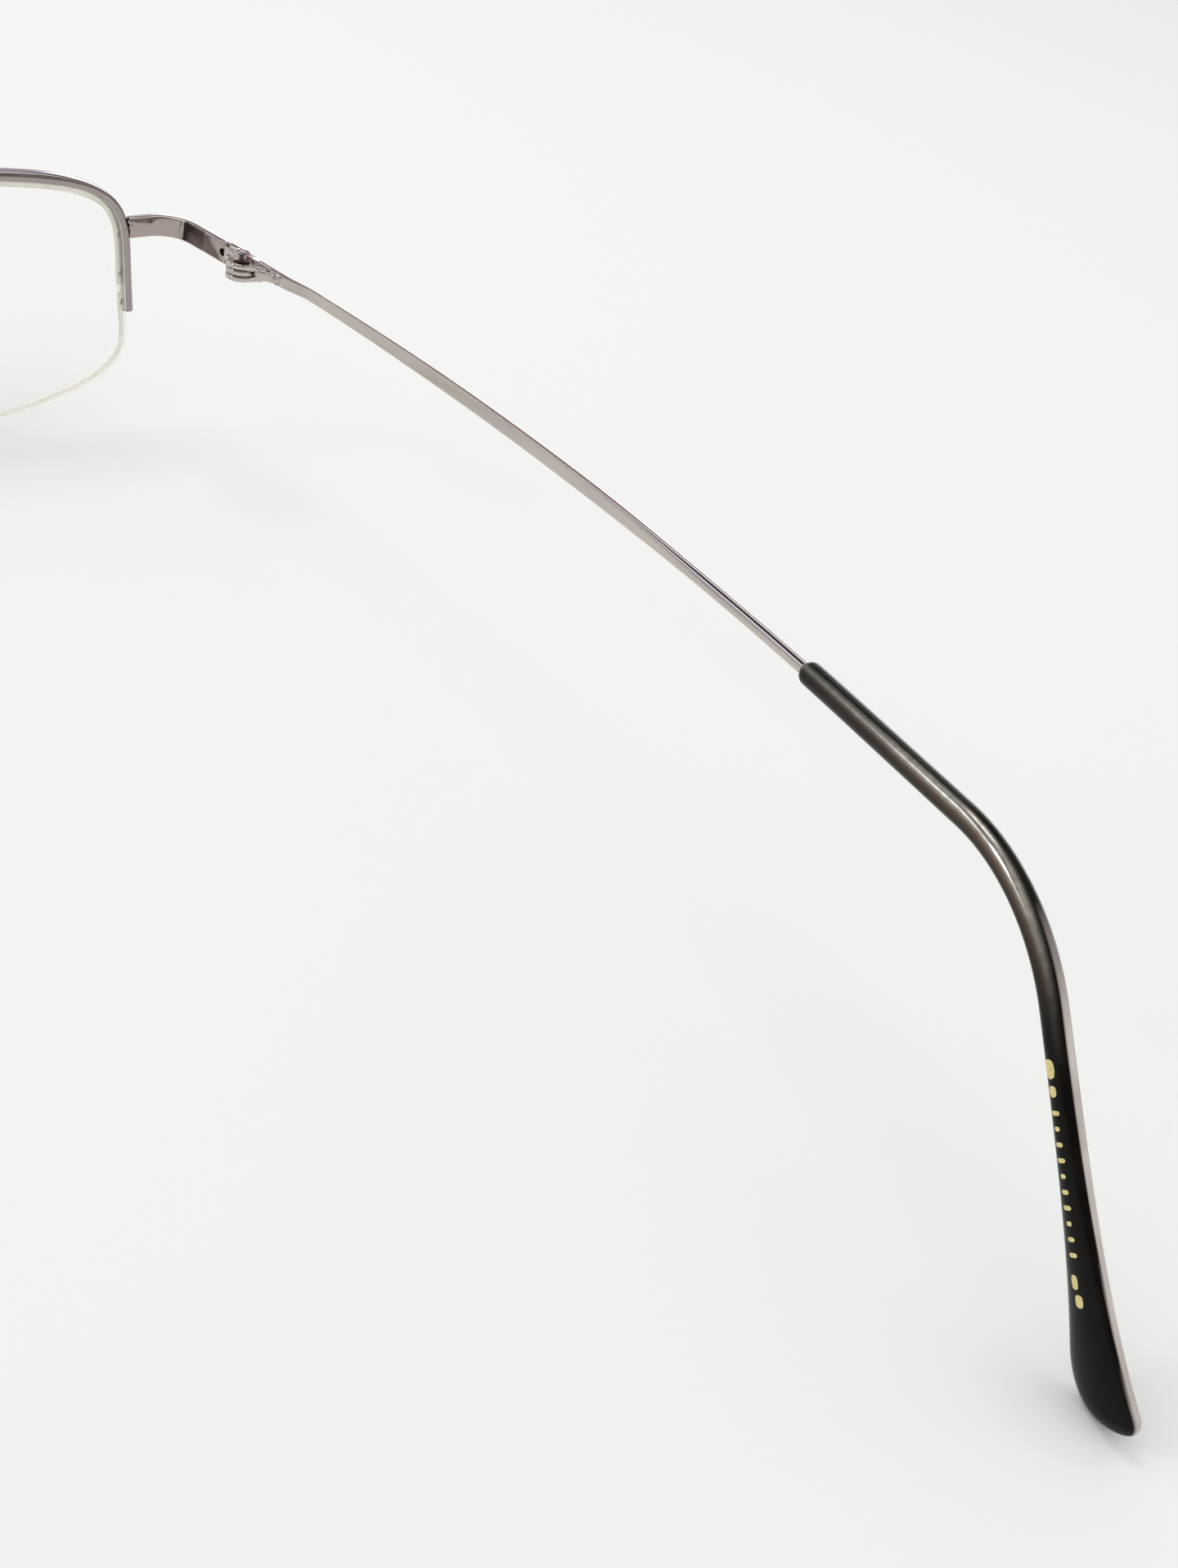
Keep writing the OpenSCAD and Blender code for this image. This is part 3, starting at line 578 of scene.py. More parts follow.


# A dark reflection painted on the end piece's bend: its ends as (X, Y) and its edge, in metres
PAINTED_DARK_REFLECTION = (0.06822, -0.06585), (0.06857, -0.06282), 0.00006
FRAME_METAL = plated_metal("frame_metal", (0.51, 0.465, 0.44), (0.55, 0.505, 0.46), 0.085, 0.05)
# The rim, bridge and end piece take darker copies of the frame's plating: painted shade
SHADED_RIM_METAL = plated_metal("shaded_rim_metal", (0.345, 0.30, 0.30), (0.38, 0.33, 0.325), 0.075, 0.04)
SHADED_END_METAL = plated_metal("shaded_end_metal", (0.385, 0.33, 0.305), (0.42, 0.36, 0.33), 0.09, 0.05, PAINTED_DARK_REFLECTION)
HINGE_METAL = plated_metal("hinge_metal", (0.50, 0.45, 0.42), (0.55, 0.50, 0.46), 0.06, 0.04)
SCREW_METAL = plated_metal("screw_metal", (0.46, 0.40, 0.37), (0.50, 0.44, 0.40), 0.09, 0.05)


def grainy(name, grain, span, colours, rough, dull, bump=None, more=None):
    """An opaque stuff: one fine grain varies its tone over span, its roughness and its surface."""
    made, t = material(name)
    grain = t.noise(t.here(), *grain)
    inputs = {
        "Base Color": t.blend(t.ramp(grain, *span), *colours),
        "Roughness": rough + grain * dull,
        **(more or {}),
    }
    if bump:
        inputs["Normal"] = t.bump(grain, *bump)
    t.surface(t.principled(inputs))
    return made


# Painted shade: near-black to dark brown colour on the faces of the screw's slot
SLOT_SHADE = grainy("slot_shade", (6000, 4, 0.7), (0.35, 0.7),
                    [(0.014, 0.009, 0.006), (0.06, 0.04, 0.028)], 0.55, 0.2, (0.4, 0.00003))
GOLD_PRINT = grainy("gold_print", (9000, 4, 0.7), (0.35, 0.7),
                    [(0.62, 0.52, 0.2), (0.85, 0.76, 0.38)], 0.38, 0.15, (0.3, 0.00002),
                    {"Metallic": 0.6})
# Painted light: pale colour on the rim's inner wall, seen through the lens, stands in for light
# that the lens's ground edge scatters
PAINTED_WALL_LIGHT = grainy("painted_wall_light", (1200, 3), (0.3, 0.7),
                    [(0.93, 0.945, 0.92), (0.86, 0.88, 0.85)], 0.35, 0.2, more={"IOR": 1.5})
# Nylon browned where it was cut with heat
CORD_END = grainy("cord_end", (7000, 3), (0.3, 0.7),
                  [(0.10, 0.09, 0.08), (0.24, 0.22, 0.20)], 0.35, 0.2)


def clear(name, tint, rough, ior, shade, veil=0.0):
    """Clear plastic that lets light through to the table instead of a black shadow.

    veil is the share that is seen straight through, where the form is too thin to bend light."""
    made, t = material(name)
    haze = t.noise(t.here(), 500, 3)
    body = t.principled({
        "Base Color": tint,
        "Roughness": rough + t.ramp(haze, 0.4, 0.8) * rough,
        "IOR": ior,
        "Transmission Weight": 1.0,
    })
    if veil:
        straight = t.node("BsdfTransparent", {}, {"Color": tint})
        body = t.node("MixShader", {}, {0: veil, 1: body, 2: straight})
    open_way = t.node("BsdfTransparent", {}, {"Color": shade})
    t.surface(t.node("MixShader", {}, {0: t.ray("Shadow"), 1: body, 2: open_way}))
    return made


LENS_CLEAR = clear("lens_clear", (0.985, 0.992, 0.985), 0.004, 1.5, (0.93, 0.94, 0.93))
LENS_EDGE = clear("lens_edge", (0.978, 0.974, 0.955), 0.5, 1.5, (0.95, 0.96, 0.95), 0.8)
NYLON = clear("nylon", (0.91, 0.895, 0.855), 0.3, 1.5, (0.9, 0.91, 0.9), 0.7)


def tip_plastic():
    """Glossy smoked plastic, near black, with painted light: the wire core's gleam up to the ear
    bend, a brown glow beside it, and a pale band where the thin back edge lets light through."""
    made, t = material("tip_plastic")
    here = t.here()
    core, painted_glow, edge = (
        t.node("Attribute", {"attribute_name": key}, out=2)
        for key in ("core", "painted_glow", "edge")
    )
    cloud = t.noise(here, 260, 3)
    specks = t.noise(here, 5200, 3, 0.7)
    streaks = t.noise(here, 1400, 4, 0.65)
    colour = t.blend(t.ramp(cloud, 0.35, 0.7), (0.002, 0.002, 0.0018), (0.006, 0.005, 0.004))
    # Painted light: a brown glow, the wire core's bright gleam, and the pale thin back edge
    colour = t.blend(painted_glow, colour, (0.16, 0.105, 0.075))
    painted_gleam = t.blend(t.ramp(streaks, 0.35, 0.7), (0.74, 0.70, 0.60), (0.92, 0.88, 0.78))
    colour = t.blend(core * t.ramp(streaks, 0.2, 0.6, 0.8, 1.0), colour, painted_gleam)
    pale = t.blend(t.ramp(cloud, 0.3, 0.7), (0.50, 0.44, 0.415), (0.62, 0.57, 0.54))
    colour = t.blend(edge, colour, pale)
    t.surface(t.principled({
        "Base Color": colour,
        "Metallic": core * 0.85,
        "Roughness": 0.09 + t.ramp(cloud, 0.3, 0.8) * 0.06 + t.ramp(specks, 0.55, 0.8) * 0.06,
        "IOR": 1.45,
        "Specular IOR Level": 0.14,
        "Normal": t.bump(specks, 0.05, 0.00001),
    }))
    return made


TIP_PLASTIC = tip_plastic()


def silicone():
    """Cloudy soft rubber with a matt skin."""
    made, t = material("pad_silicone")
    here = t.here()
    cloud = t.noise(here, 400, 3)
    skin = t.noise(here, 3500, 3, 0.6)
    t.surface(t.principled({
        "Base Color": t.blend(t.ramp(cloud, 0.3, 0.7), (0.90, 0.91, 0.88), (0.84, 0.85, 0.80)),
        "Roughness": 0.28 + t.ramp(skin, 0.35, 0.75) * 0.16,
        "IOR": 1.41,
        "Transmission Weight": 0.75,
        "Subsurface Weight": 0.2,
        "Subsurface Radius": (0.002, 0.002, 0.002),
        "Subsurface Scale": 1.0,
        "Normal": t.bump(skin, 0.12, 0.00003),
    }))
    return made


PAD_SILICONE = silicone()

# ---- rim
RIM_FRONT = (LENS_T - RIM_D) / 2
RIM_BACK = RIM_FRONT + RIM_D
GROOVE_FRONT, GROOVE_BACK = (LENS_T - GROOVE_W) / 2, (LENS_T + GROOVE_W) / 2
LINER_HALF = GROOVE_D - 2 * FIT_GAP


def corner(at, towards, away, r, steps):
    """A rounded corner between two edges that leave it in these directions."""
    at, towards, away = (np.asarray(v, float) for v in (at, towards, away))
    centre = at + r * (towards + away)
    return [
        centre - r * (away * math.cos(a) + towards * math.sin(a))
        for a in np.linspace(0, math.pi / 2, steps + 1)
    ]


def rim_section(t):
    """Section of the rim's bar: (distance outside the lens, distance back).

    Its outer side falls a little towards the back and turns over a soft edge."""
    fall, soft, first = 0.22, 0.34, 12
    points = corner((FIT_GAP, RIM_FRONT), (0, 1), (1, 0), 0.05, 2)
    points += corner((t, RIM_FRONT), (-1, 0), (0, 1), 0.12, 3)
    middle = np.array([t - fall - soft, RIM_BACK - soft])
    turned = [
        middle + soft * np.array([math.cos(rad(a)), math.sin(rad(a))])
        for a in np.linspace(first, 90, 9)
    ]
    for k in np.linspace(0.15, 0.95, 8):
        points.append((t - fall * k**1.7, mix(RIM_FRONT + 0.12, turned[0][1], k)))
    points += turned
    points.append((mix(FIT_GAP, middle[0], 0.5), RIM_BACK - 0.01))
    points += corner((FIT_GAP, RIM_BACK - 0.03), (1, 0), (0, -1), 0.07, 2)
    points += [
        (FIT_GAP, GROOVE_BACK),
        (LINER_HALF + FIT_GAP, GROOVE_BACK),
        (LINER_HALF + FIT_GAP, GROOVE_FRONT),
        (FIT_GAP, GROOVE_FRONT),
    ]
    return np.array(points)


def rim_part():
    """The rim's bar with rounded ends, and the faces of its inner wall and groove."""
    nose, outer, end_free = 180 - RIM_END_NOSE, RIM_END_OUTER, 0.9
    shrinks = [(0.0, 0.55), (0.06, 0.8), (0.16, 0.94), (0.3, 1.0)]
    angle_per_mm = math.degrees(1 / LENS_HALF)
    head = [(nose - u * angle_per_mm, k) for u, k in shrinks]
    angles = spread(np.linspace(180, 0, 220))
    middle = [(a, 1.0) for a in angles if outer + end_free < a < nose - end_free]
    tail = [(outer + u * angle_per_mm, k) for u, k in shrinks[::-1]]
    rings = []
    for a, k in head + middle + tail:
        section = rim_section(rim_at(a))
        if k < 1:
            centre = np.array([rim_at(a) / 2, LENS_T / 2])
            section = centre + (section - centre) * [mix(1, k, 0.7), k]
        rings.append(on_front(a, section[:, 0], section[:, 1]))
    # The last five sides of the section are the wall and the groove
    n = len(section)
    inner_wall = [i * n + j for i in range(2, len(rings) - 3) for j in range(n - 5, n)]
    return loft(rings), inner_wall


# ---- lens
def lens_part():
    """A curved blank with safety bevels and the cord's groove, and the faces of its edge."""
    n, bevel = 288, 0.12
    angles = spread(np.arange(n) * 360 / n)
    groove = [
        (0, GROOVE_FRONT),
        (-0.3, GROOVE_FRONT + 0.04),
        (-0.46, GROOVE_FRONT + 0.2),
        (-GROOVE_D, LENS_T / 2),
        (-0.46, GROOVE_BACK - 0.2),
        (-0.3, GROOVE_BACK - 0.04),
        (0, GROOVE_BACK),
    ]
    edge = [(-bevel, 0), (0, bevel)] + groove + [(0, LENS_T - bevel), (-bevel, LENS_T)]
    shrink = [0.97, 0.9, 0.8, 0.68, 0.55, 0.42, 0.3, 0.19, 0.1, 0.04]
    inner = grown(angles, -bevel)
    rings = [bowl(inner * k, 0) for k in shrink[::-1]]
    rings += [on_front(angles, by, w) for by, w in edge]
    rings += [bowl(inner * k, LENS_T) for k in shrink]
    first = len(shrink)
    return loft(rings), range(first * n, (first + len(edge) - 1) * n)


def liner_part():
    half_w = GROOVE_W / 2 - FIT_GAP
    square = [(-1, -1), (1, -1), (1, 1), (-1, 1)]
    section = np.array([(LINER_HALF * a, LENS_T / 2 + half_w * b) for a, b in square])
    angles = spread(np.linspace(180 - CORD_TUCK_ANGLE, CORD_TUCK_ANGLE, 150))
    return loft([on_front(a, section[:, 0], section[:, 1]) for a in angles])


def cord_part():
    sink = GROOVE_D - CORD_R - FIT_GAP
    tuck = spread(CORD_TUCK_ANGLE) - 1.5
    t = circle(12)
    rings = [
        on_front(a, -sink + CORD_R * np.cos(t), LENS_T / 2 + CORD_R * np.sin(t))
        for a in np.linspace(180 - tuck, 360 + tuck, 200)
    ]
    return loft(rings)


def cord_end_part():
    """The melted ends and loops of the cord at the rim's outer end."""
    sunk, thick = -0.12, 0.09
    parts = []
    for angle, long in ((16.5, 0.2), (8.8, 0.32), (2.6, 0.3)):
        at = on_front(angle, sunk, LENS_T / 2)
        along = unit(on_front(angle + 1, sunk, LENS_T / 2) - at)
        out = unit(on_front(angle, 0.2, LENS_T / 2) - at)
        tilted = unit(along + 0.5 * out)
        across = np.cross(tilted, out)
        axes = [tilted, unit(across), unit(np.cross(tilted, across))]
        parts.append(bead(at, axes, [long, thick, thick]))
    return merge(*parts)


# ---- bridge
def bezier(p, t):
    u = 1 - t
    return u**3 * p[0] + 3 * t * u**2 * p[1] + 3 * t * t * u * p[2] + t**3 * p[3]


def bezier_dir(p, t):
    return unit(bezier(p, min(t + 0.01, 1)) - bezier(p, max(t - 0.01, 0)))


def bridge_part():
    """A bar that springs from both rims and narrows towards them."""
    foot = on_front(BRIDGE_ANGLE, rim_at(BRIDGE_ANGLE) + SEAT_GAP, LENS_T / 2)
    away = unit(
        on_front(BRIDGE_ANGLE, RIM_T + 1, LENS_T / 2) - on_front(BRIDGE_ANGLE, RIM_T, LENS_T / 2)
    )
    y, z = foot[1] - BRIDGE_FORWARD, foot[2] + BRIDGE_RISE
    curve = [foot, foot + 3.2 * away, np.array([4.5, y, z]), np.array([0, y, z])]
    steps = 40
    half = []
    for i in range(steps + 1):
        t = i / steps
        d = away if i == 0 else np.array([-1, 0, 0]) if i == steps else bezier_dir(curve, t)
        across = unit(np.cross(d, [0, 0, 1]))
        up = np.cross(across, d)
        slim = mix(0.82, 1, ease(t * 2)) / 2
        at = bezier(curve, t)
        half.append(bar_ring(at, across, up, BRIDGE_D * slim, BRIDGE_H * slim, 0.62, 28))
    other = [ring * [-1, 1, 1] for ring in half[-2::-1]]
    return loft(half + other)


# ---- end piece
END_CORNER = np.array([PIN[0] + KNUCKLE_R + PLATE_OUT + PLATE_T + 0.05, PIN[1] - JOINT_AHEAD])
end_level = math.degrees(math.atan((BAR_ABOVE_LENS - END_H / 3) / LENS_HALF))
RIM_SIDE_X = on_front(end_level, rim_at(end_level), RIM_FRONT)[0]
RIM_SIDE_SLANT = (on_front(end_level, rim_at(end_level), RIM_BACK)[0] - RIM_SIDE_X) / RIM_D
# The oval hole through the end piece, in front of the hinge
HOLE_AT, HOLE_HALF_L, HOLE_HALF_H = PIN + [1.2, -4.9, -0.12], 0.36, 0.58


def end_piece_part():
    """A strip that leaves the rim sideways and bends back to the hinge."""
    splay, forward = rad(END_SPLAY), rad(END_FORWARD)
    rear_dir = np.array([math.sin(splay), math.cos(splay)])
    rear_in = np.array([-math.cos(splay), math.sin(splay)])
    side_dir = np.array([math.cos(forward), -math.sin(forward)])
    side_in = np.array([math.sin(forward), math.cos(forward)])
    start = np.array([RIM_SIDE_X, -END_AHEAD])
    gap = END_CORNER - start
    along = (gap[0] * side_dir[1] - gap[1] * side_dir[0]) / (
        rear_dir[0] * side_dir[1] - rear_dir[1] * side_dir[0]
    )
    meet = END_CORNER - rear_dir * along
    turned = 90 + END_FORWARD - END_SPLAY
    run = END_BEND_R * math.tan(rad(turned / 2))
    centre = meet - side_dir * run + side_in * END_BEND_R
    side_len = np.linalg.norm(centre - side_in * END_BEND_R - start)
    rear_len = np.linalg.norm(END_CORNER - (centre - rear_in * END_BEND_R))

    r = 0.13
    section = np.array(
        corner((0, 0), (0, 1), (1, 0), r, 3)
        + corner((END_T, 0), (-1, 0), (0, 1), r, 3)
        + corner((END_T, END_H), (0, -1), (-1, 0), r, 3)
        + corner((0, END_H), (1, 0), (0, -1), r, 3)
    )
    middle = np.array([END_T / 2, END_H / 2])

    def at_side(x, q):
        lead = RIM_SIDE_SLANT * q[0] - END_SUNK
        return start + side_in * q[0] + side_dir * (lead + x)

    places = []
    for x, k in [(0, 0.9), (0.05, 0.97), (0.14, 1), (side_len * 0.3, 1), (side_len * 0.65, 1)]:
        places.append((lambda q, x=x: at_side(x, q), k))
    for i in range(33):
        a = rad(-90 - END_FORWARD + turned * i / 32)
        way = np.array([math.cos(a), math.sin(a)])
        places.append((lambda q, way=way: centre + way * (END_BEND_R - q[0]), 1))
    for back, k in [(rear_len * 0.5, 1), (0.12, 1), (0.04, 0.97), (0, 0.92)]:
        places.append((lambda q, back=back: END_CORNER - rear_dir * back + rear_in * q[0], k))
    rings = []
    for place, k in places:
        ring = []
        for q in middle + (section - middle) * k:
            p = place(q)
            ring.append([p[0], p[1], q[1] - END_H])
        rings.append(turn(np.array(ring), "x", -END_SLOPE) + [0, 0, END_TOP])
    round_way = np.arange(40) * math.pi / 20
    oval = np.stack([HOLE_HALF_L * np.cos(round_way), HOLE_HALF_H * np.sin(round_way)], -1)
    hole = placed(prism(oval, -0.5, 0.7), lambda p: turn(p, "y", 90) + HOLE_AT)
    strip = cut(loft(rings), hole)
    # Solder at the rim, and what ran out in front of the hinge leaf
    solder = [
        bead([RIM_SIDE_X - 0.46, 0.26, 0.55], np.eye(3), [0.26, 0.24, 0.3]),
        bead([RIM_SIDE_X - 0.3, 0.2, 0.02], np.eye(3), [0.24, 0.22, 0.5]),
        bead(PIN + [1.28, -4.75, 0.72], turn(np.eye(3), "z", -END_SPLAY), [0.42, 0.5, 0.28]),
    ]
    return merge(strip, *solder)


# ---- hinge
THIRD = (KNUCKLE_H - 2 * KNUCKLE_GAP) / 3
LOW, HIGH = -KNUCKLE_H / 2, KNUCKLE_H / 2
MID_LOW = LOW + THIRD + KNUCKLE_GAP
MID_HIGH = MID_LOW + THIRD
HIGH_LOW = MID_HIGH + KNUCKLE_GAP
BORE_R = SCREW_R + SCREW_CLEAR
PLATE_IN = PLATE_X - PLATE_T / 2 - PIN[0]


def at_pin(p):
    return np.asarray(p, float) + PIN


def knuckle(low, high):
    """A round knuckle with softened rims and the screw's bore."""
    r, e = KNUCKLE_R, 0.13
    turns = [(BORE_R, 0), (r - e - 0.05, 0), (r - e, 0), (r - 0.3 * e, 0.3 * e), (r, e)]
    outline = [(x, low + up) for x, up in turns] + [(x, high - up) for x, up in turns[::-1]]
    return ring_lathe(outline, 96)


def front_leaf_part():
    corner_in = END_CORNER[0] - PIN[0] - END_T / math.cos(rad(END_SPLAY)) - SEAT_GAP
    lean_in = math.tan(rad(END_SPLAY))
    front_y, rear_y = -4.05, -JOINT_AHEAD
    front_x = corner_in - lean_in * (rear_y - front_y)
    bite = 0.05
    web = [
        (-0.2, -KNUCKLE_R * 0.985), (front_x - LEAF_T, front_y + 0.5), (front_x, front_y + 0.2),
        (corner_in, rear_y), (KNUCKLE_R * 0.94, -KNUCKLE_R * 0.34), (0.8, -0.7), (0, -0.8),
    ]
    plate = [
        (front_x - LEAF_T, front_y), (front_x + bite, front_y), (corner_in + bite, rear_y),
        (corner_in - LEAF_T, rear_y - 0.1),
    ]
    part = merge(
        knuckle(MID_LOW, MID_HIGH),
        soft_prism(web, MID_LOW, MID_HIGH, 0.15, 0.07),
        soft_prism(plate, LOW, HIGH - 0.06, 0.28, 0.13),
    )
    return placed(part, at_pin)


def temple_leaf_part():
    face_x = PLATE_IN - SEAT_GAP
    front_y, bite, drop = KNUCKLE_R - 0.1, 0.06, -PIN[2]
    rear_y = front_y + LEAF_LEN - 0.1
    parts = []
    upper = [(face_x, 2.7), (face_x - 0.5, 2.7), (0.5, 1.95), (-0.1, 1.5), (-0.6, 1.2)]
    lower = [(face_x, 1.6), (face_x - 0.3, 1.6), (0.75, 1.36), (0.2, 1.37)]
    for z, rear in ((LOW, lower), (HIGH_LOW, upper)):
        web = [(0.66, -0.3), (0.95, -0.8), (face_x, -0.8)] + rear + [(-0.2, 0.7), (0.6, 0.5)]
        parts += [knuckle(z, z + THIRD), soft_prism(web, z, z + THIRD, 0.3, 0.07)]
    plate = [
        (0.3, 1.62), (0.9, front_y - 0.02), (face_x + bite, front_y - 0.02),
        (face_x + bite, rear_y), (face_x - 0.1, rear_y - 0.1), (face_x - 0.4, rear_y - 0.9),
        (0.62, 2.6), (0.3, 2.1),
    ]
    top = PLATE_H / 2 + drop
    parts.append(soft_prism(plate, -PLATE_H / 2 + drop + 0.08, top, 0.3, 0.16))
    # Rounded bumps along the leaf's top
    for x, y, r in ((1.02, 2.95, 0.2), (1.16, 3.5, 0.19), (1.42, 3.95, 0.22)):
        parts.append(bead([x, y, top - 0.12], np.eye(3), [r * 1.1, r * 1.9, r * 0.75]))
    return placed(merge(*parts), at_pin)


def screw_part():
    """A tall domed head with a wide slot on a plain shank, and the faces of the slot, which take
    painted shade.
    """
    base, top, e = HIGH + SEAT_GAP, HIGH + SEAT_GAP + HEAD_H, 0.26
    head = [(0.3, base), (HEAD_R - 0.07, base), (HEAD_R, base + 0.07), (HEAD_R, top - e)]
    for a in np.linspace(12, 78, 6):
        head.append((HEAD_R - e + e * math.cos(rad(a)), top - e + e * math.sin(rad(a))))
    head += [(HEAD_R - e, top), (HEAD_R - e - 0.05, top + 0.004), (0.2, top + 0.01)]
    box = brick((-HEAD_R - 1, -SLOT_W / 2, top - SLOT_DEEP), (HEAD_R + 1, SLOT_W / 2, top + 1))
    capped = cut(lathe(head, 96), placed(box, lambda p: turn(p, "z", SLOT_TURN)))
    middles = [turn(capped[0][list(f)].mean(0), "z", -SLOT_TURN) for f in capped[1]]
    wall = SLOT_W / 2 + 0.004
    # The slot's faces, coloured with painted shade
    shaded_slot = [i for i, c in enumerate(middles) if abs(c[1]) < wall and c[2] > base + 0.1]
    shank = lathe([
        (SCREW_R - 0.1, LOW + 0.001), (SCREW_R, LOW + 0.1), (SCREW_R, base + HEAD_H / 5)
    ], 64)
    return placed(merge(capped, shank), at_pin), shaded_slot


# ---- temple and tip
def temple_part():
    """The plate at the hinge, which narrows to a flat bar and turns into a round wire."""
    flat_len, wire_ahead, wire_len = 25, 33, 23
    wire_end = TEMPLE_LEN - WIRE_SHORT
    start = -JOINT_AHEAD + 2 * SEAT_GAP
    places = [start, start + 0.05, start + 0.12, 0, 2, PLATE_LEN]
    places += list(np.linspace(PLATE_LEN, NECK_END, 13))[1:]
    places += list(np.linspace(NECK_END, TIP_START, 60))[1:]
    places += list(np.linspace(TIP_START, BEND_START, 14))[1:]
    places += list(np.linspace(BEND_START, BEND_END, 22))[1:]
    places += list(np.linspace(BEND_END, wire_end, 6))[1:]
    rings = []
    for s in places:
        neck = ease((s - PLATE_LEN) / NECK_LEN)
        flat = ease((s - NECK_END) / flat_len)
        wire = ease((s - TIP_START + wire_ahead) / wire_len)
        half_t = mix(mix(PLATE_T, BAR_T, neck), WIRE_DIA, wire) / 2
        half_h = mix(mix(PLATE_H, mix(BAR_H * 0.85, BAR_H, flat), neck), WIRE_DIA, wire) / 2
        power = mix(0.18, mix(0.24, 0.85, wire), neck)
        shrink = min(1, 0.88 + (s - start))
        rings.append(bar_ring(
            temple_point(s), temple_side(s), temple_up(s),
            half_t * shrink, half_h * shrink, power, 40,
        ))
    return loft(rings)


def tip_places():
    """Where the tip's rings stand, closer together at its ends."""
    sweep = FORE_ROUND * 1.2
    places = [TIP_START + d for d in (0.02, 0.06, 0.14, 0.28, 0.5, 0.75, 0.9)]
    places += list(np.linspace(TIP_START + 0.9, BEND_START, 26))[1:]
    places += list(np.linspace(BEND_START, BEND_END, 34))[1:]
    places += list(np.linspace(BEND_END, TEMPLE_LEN - sweep, 34))[1:]
    places += [TEMPLE_LEN - sweep * k for k in np.linspace(0.98, REAR_ROUND / sweep, 22)]
    ends = (0.85, 0.7, 0.55, 0.4, 0.28, 0.18, 0.1, 0.04, 0.01)
    return places + [TEMPLE_LEN - REAR_ROUND * k for k in ends]


def tip_part():
    rings = []
    for s in tip_places():
        at, half_t, half_w = tip_shape(s)
        rings.append(bar_ring(at, temple_side(s), temple_up(s), half_t, half_w, 1, TIP_ROUND))
    return loft(rings)


def tip_tones():
    """How much the painted gleam of the wire core, the painted brown glow round it and the painted
    light of the thin back edge show at each point.
    """
    # Angles round the section from its outer side; inner counts alike above and below
    turns = (np.arange(TIP_ROUND) + 0.5) * 360 / TIP_ROUND
    inner = np.where(turns > 90, turns, 180 - turns)
    inner = np.where(turns > 270, 540 - turns, inner)
    places = np.array(tip_places())[:, None]
    painted_gleam = np.interp(
        places,
        (82, 86, 92, 98, 102, 105, 108, 112, 116, 120),
        (0.12, 0.18, 0.32, 0.75, 1.0, 1.0, 0.95, 0.28, 0.06, 0),
    )
    core_at, core_wide, brown_at, brown_wide = 133, 15, 160, 22
    core = painted_gleam * np.exp(-(((inner - core_at) / core_wide) ** 2))
    brown = np.interp(places, (84, 92, 100, 108, 114, 118), (0.10, 0.2, 0.5, 0.6, 0.2, 0))
    painted_glow = brown * np.exp(-(((inner - brown_at) / brown_wide) ** 2))
    thin = np.interp(places, (110, 113, 117, 141.5, 141.8), (0, 0.45, 1, 0.9, 0.3))
    middle = np.interp(places, (112, 130, 140), (74, 76, 88))
    edge = thin * np.clip((24 - abs(turns - middle)) / 6, 0, 1)
    return {"core": core, "painted_glow": painted_glow, "edge": edge}


def tip_patch(s0, s1, v0, v1, n=10):
    """A thin printed patch on the tip's inner face, from s0 to s1 along it and v0 to v1 across."""
    lift = 0.012
    grid = []
    for i in range(n + 1):
        for j in range(n + 1):
            a, b = 2 * i / n - 1, 2 * j / n - 1
            # A rounded square
            a, b = a * math.sqrt(1 - 0.35 * b * b), b * math.sqrt(1 - 0.35 * a * a)
            s, v = mix(s0, s1, (a + 1) / 2), mix(v0, v1, (b + 1) / 2)
            at, half_t, half_w = tip_shape(s)
            depth = half_t * math.sqrt(max(1 - (v / half_w) ** 2, 0.01))
            grid.append(at + v * temple_up(s) - (depth + lift) * temple_side(s))
    m = n + 1
    faces = [
        (i * m + j, i * m + j + 1, (i + 1) * m + j + 1, (i + 1) * m + j)
        for i in range(n)
        for j in range(n)
    ]
    return np.array(grid), faces


def tip_marks_part():
    """Plain dots and short bars in gold along the tip's inner face."""
    patches = [tip_patch(119.3, 120.5, -0.45, 0.35), tip_patch(120.9, 121.6, -0.3, 0.3)]
    for i in range(10):
        s = 122.4 + i * 0.95
        tall = (0.34, 0.22, 0.3)[i % 3]
        patches.append(tip_patch(s, s + 0.3, -tall, tall, n=6))
    patches += [tip_patch(132.3, 133.2, -0.5, 0.1), tip_patch(133.5, 134.3, -0.35, 0.35)]
    return merge(*patches)


# ---- nose pads
def at_pad(p):
    return PAD_AT + turn(turn(p, "y", -PAD_SLANT), "z", -PAD_SPLAY)


def arm_part():
    foot, near, far = (
        on_front(ARM_ANGLE, 0.35, w) for w in (RIM_BACK + SEAT_GAP, RIM_BACK, RIM_BACK + 1)
    )
    back = unit(far - near)
    box_back = at_pad([BOX_D + SEAT_GAP - PIN_IN_BOX, 0, 0])
    into = unit(at_pad([-1, 0, 0]) - at_pad([0, 0, 0]))
    curve = [foot, foot + 4.5 * back, box_back - 4.2 * into, box_back]
    steps = 40
    rings = []
    for i in range(steps + 1):
        t = i / steps
        d = back if i == 0 else into if i == steps else bezier_dir(curve, t)
        across = unit(np.cross(d, [1, 0, 0.3]))
        up = np.cross(across, d)
        rings.append(bar_ring(bezier(curve, t), across, up, ARM_DIA / 2, ARM_DIA / 2, 1, 24))
    return loft(rings)


def box_part():
    w, h, wall = BOX_W / 2, BOX_H / 2, BOX_WALL
    back, bore_r = BOX_D - PIN_IN_BOX, PAD_SCREW_R + SCREW_CLEAR
    shell = brick((-PIN_IN_BOX, -w, -h), (back, w, h))
    inside = brick((-1, -w + wall, -h + wall), (back - wall, w - wall, h - wall))
    bore = placed(lathe([(bore_r, -BOX_W), (bore_r, BOX_W)], 32), lambda p: turn(p, "x", 90))
    return placed(cut(shell, inside, bore), at_pad)


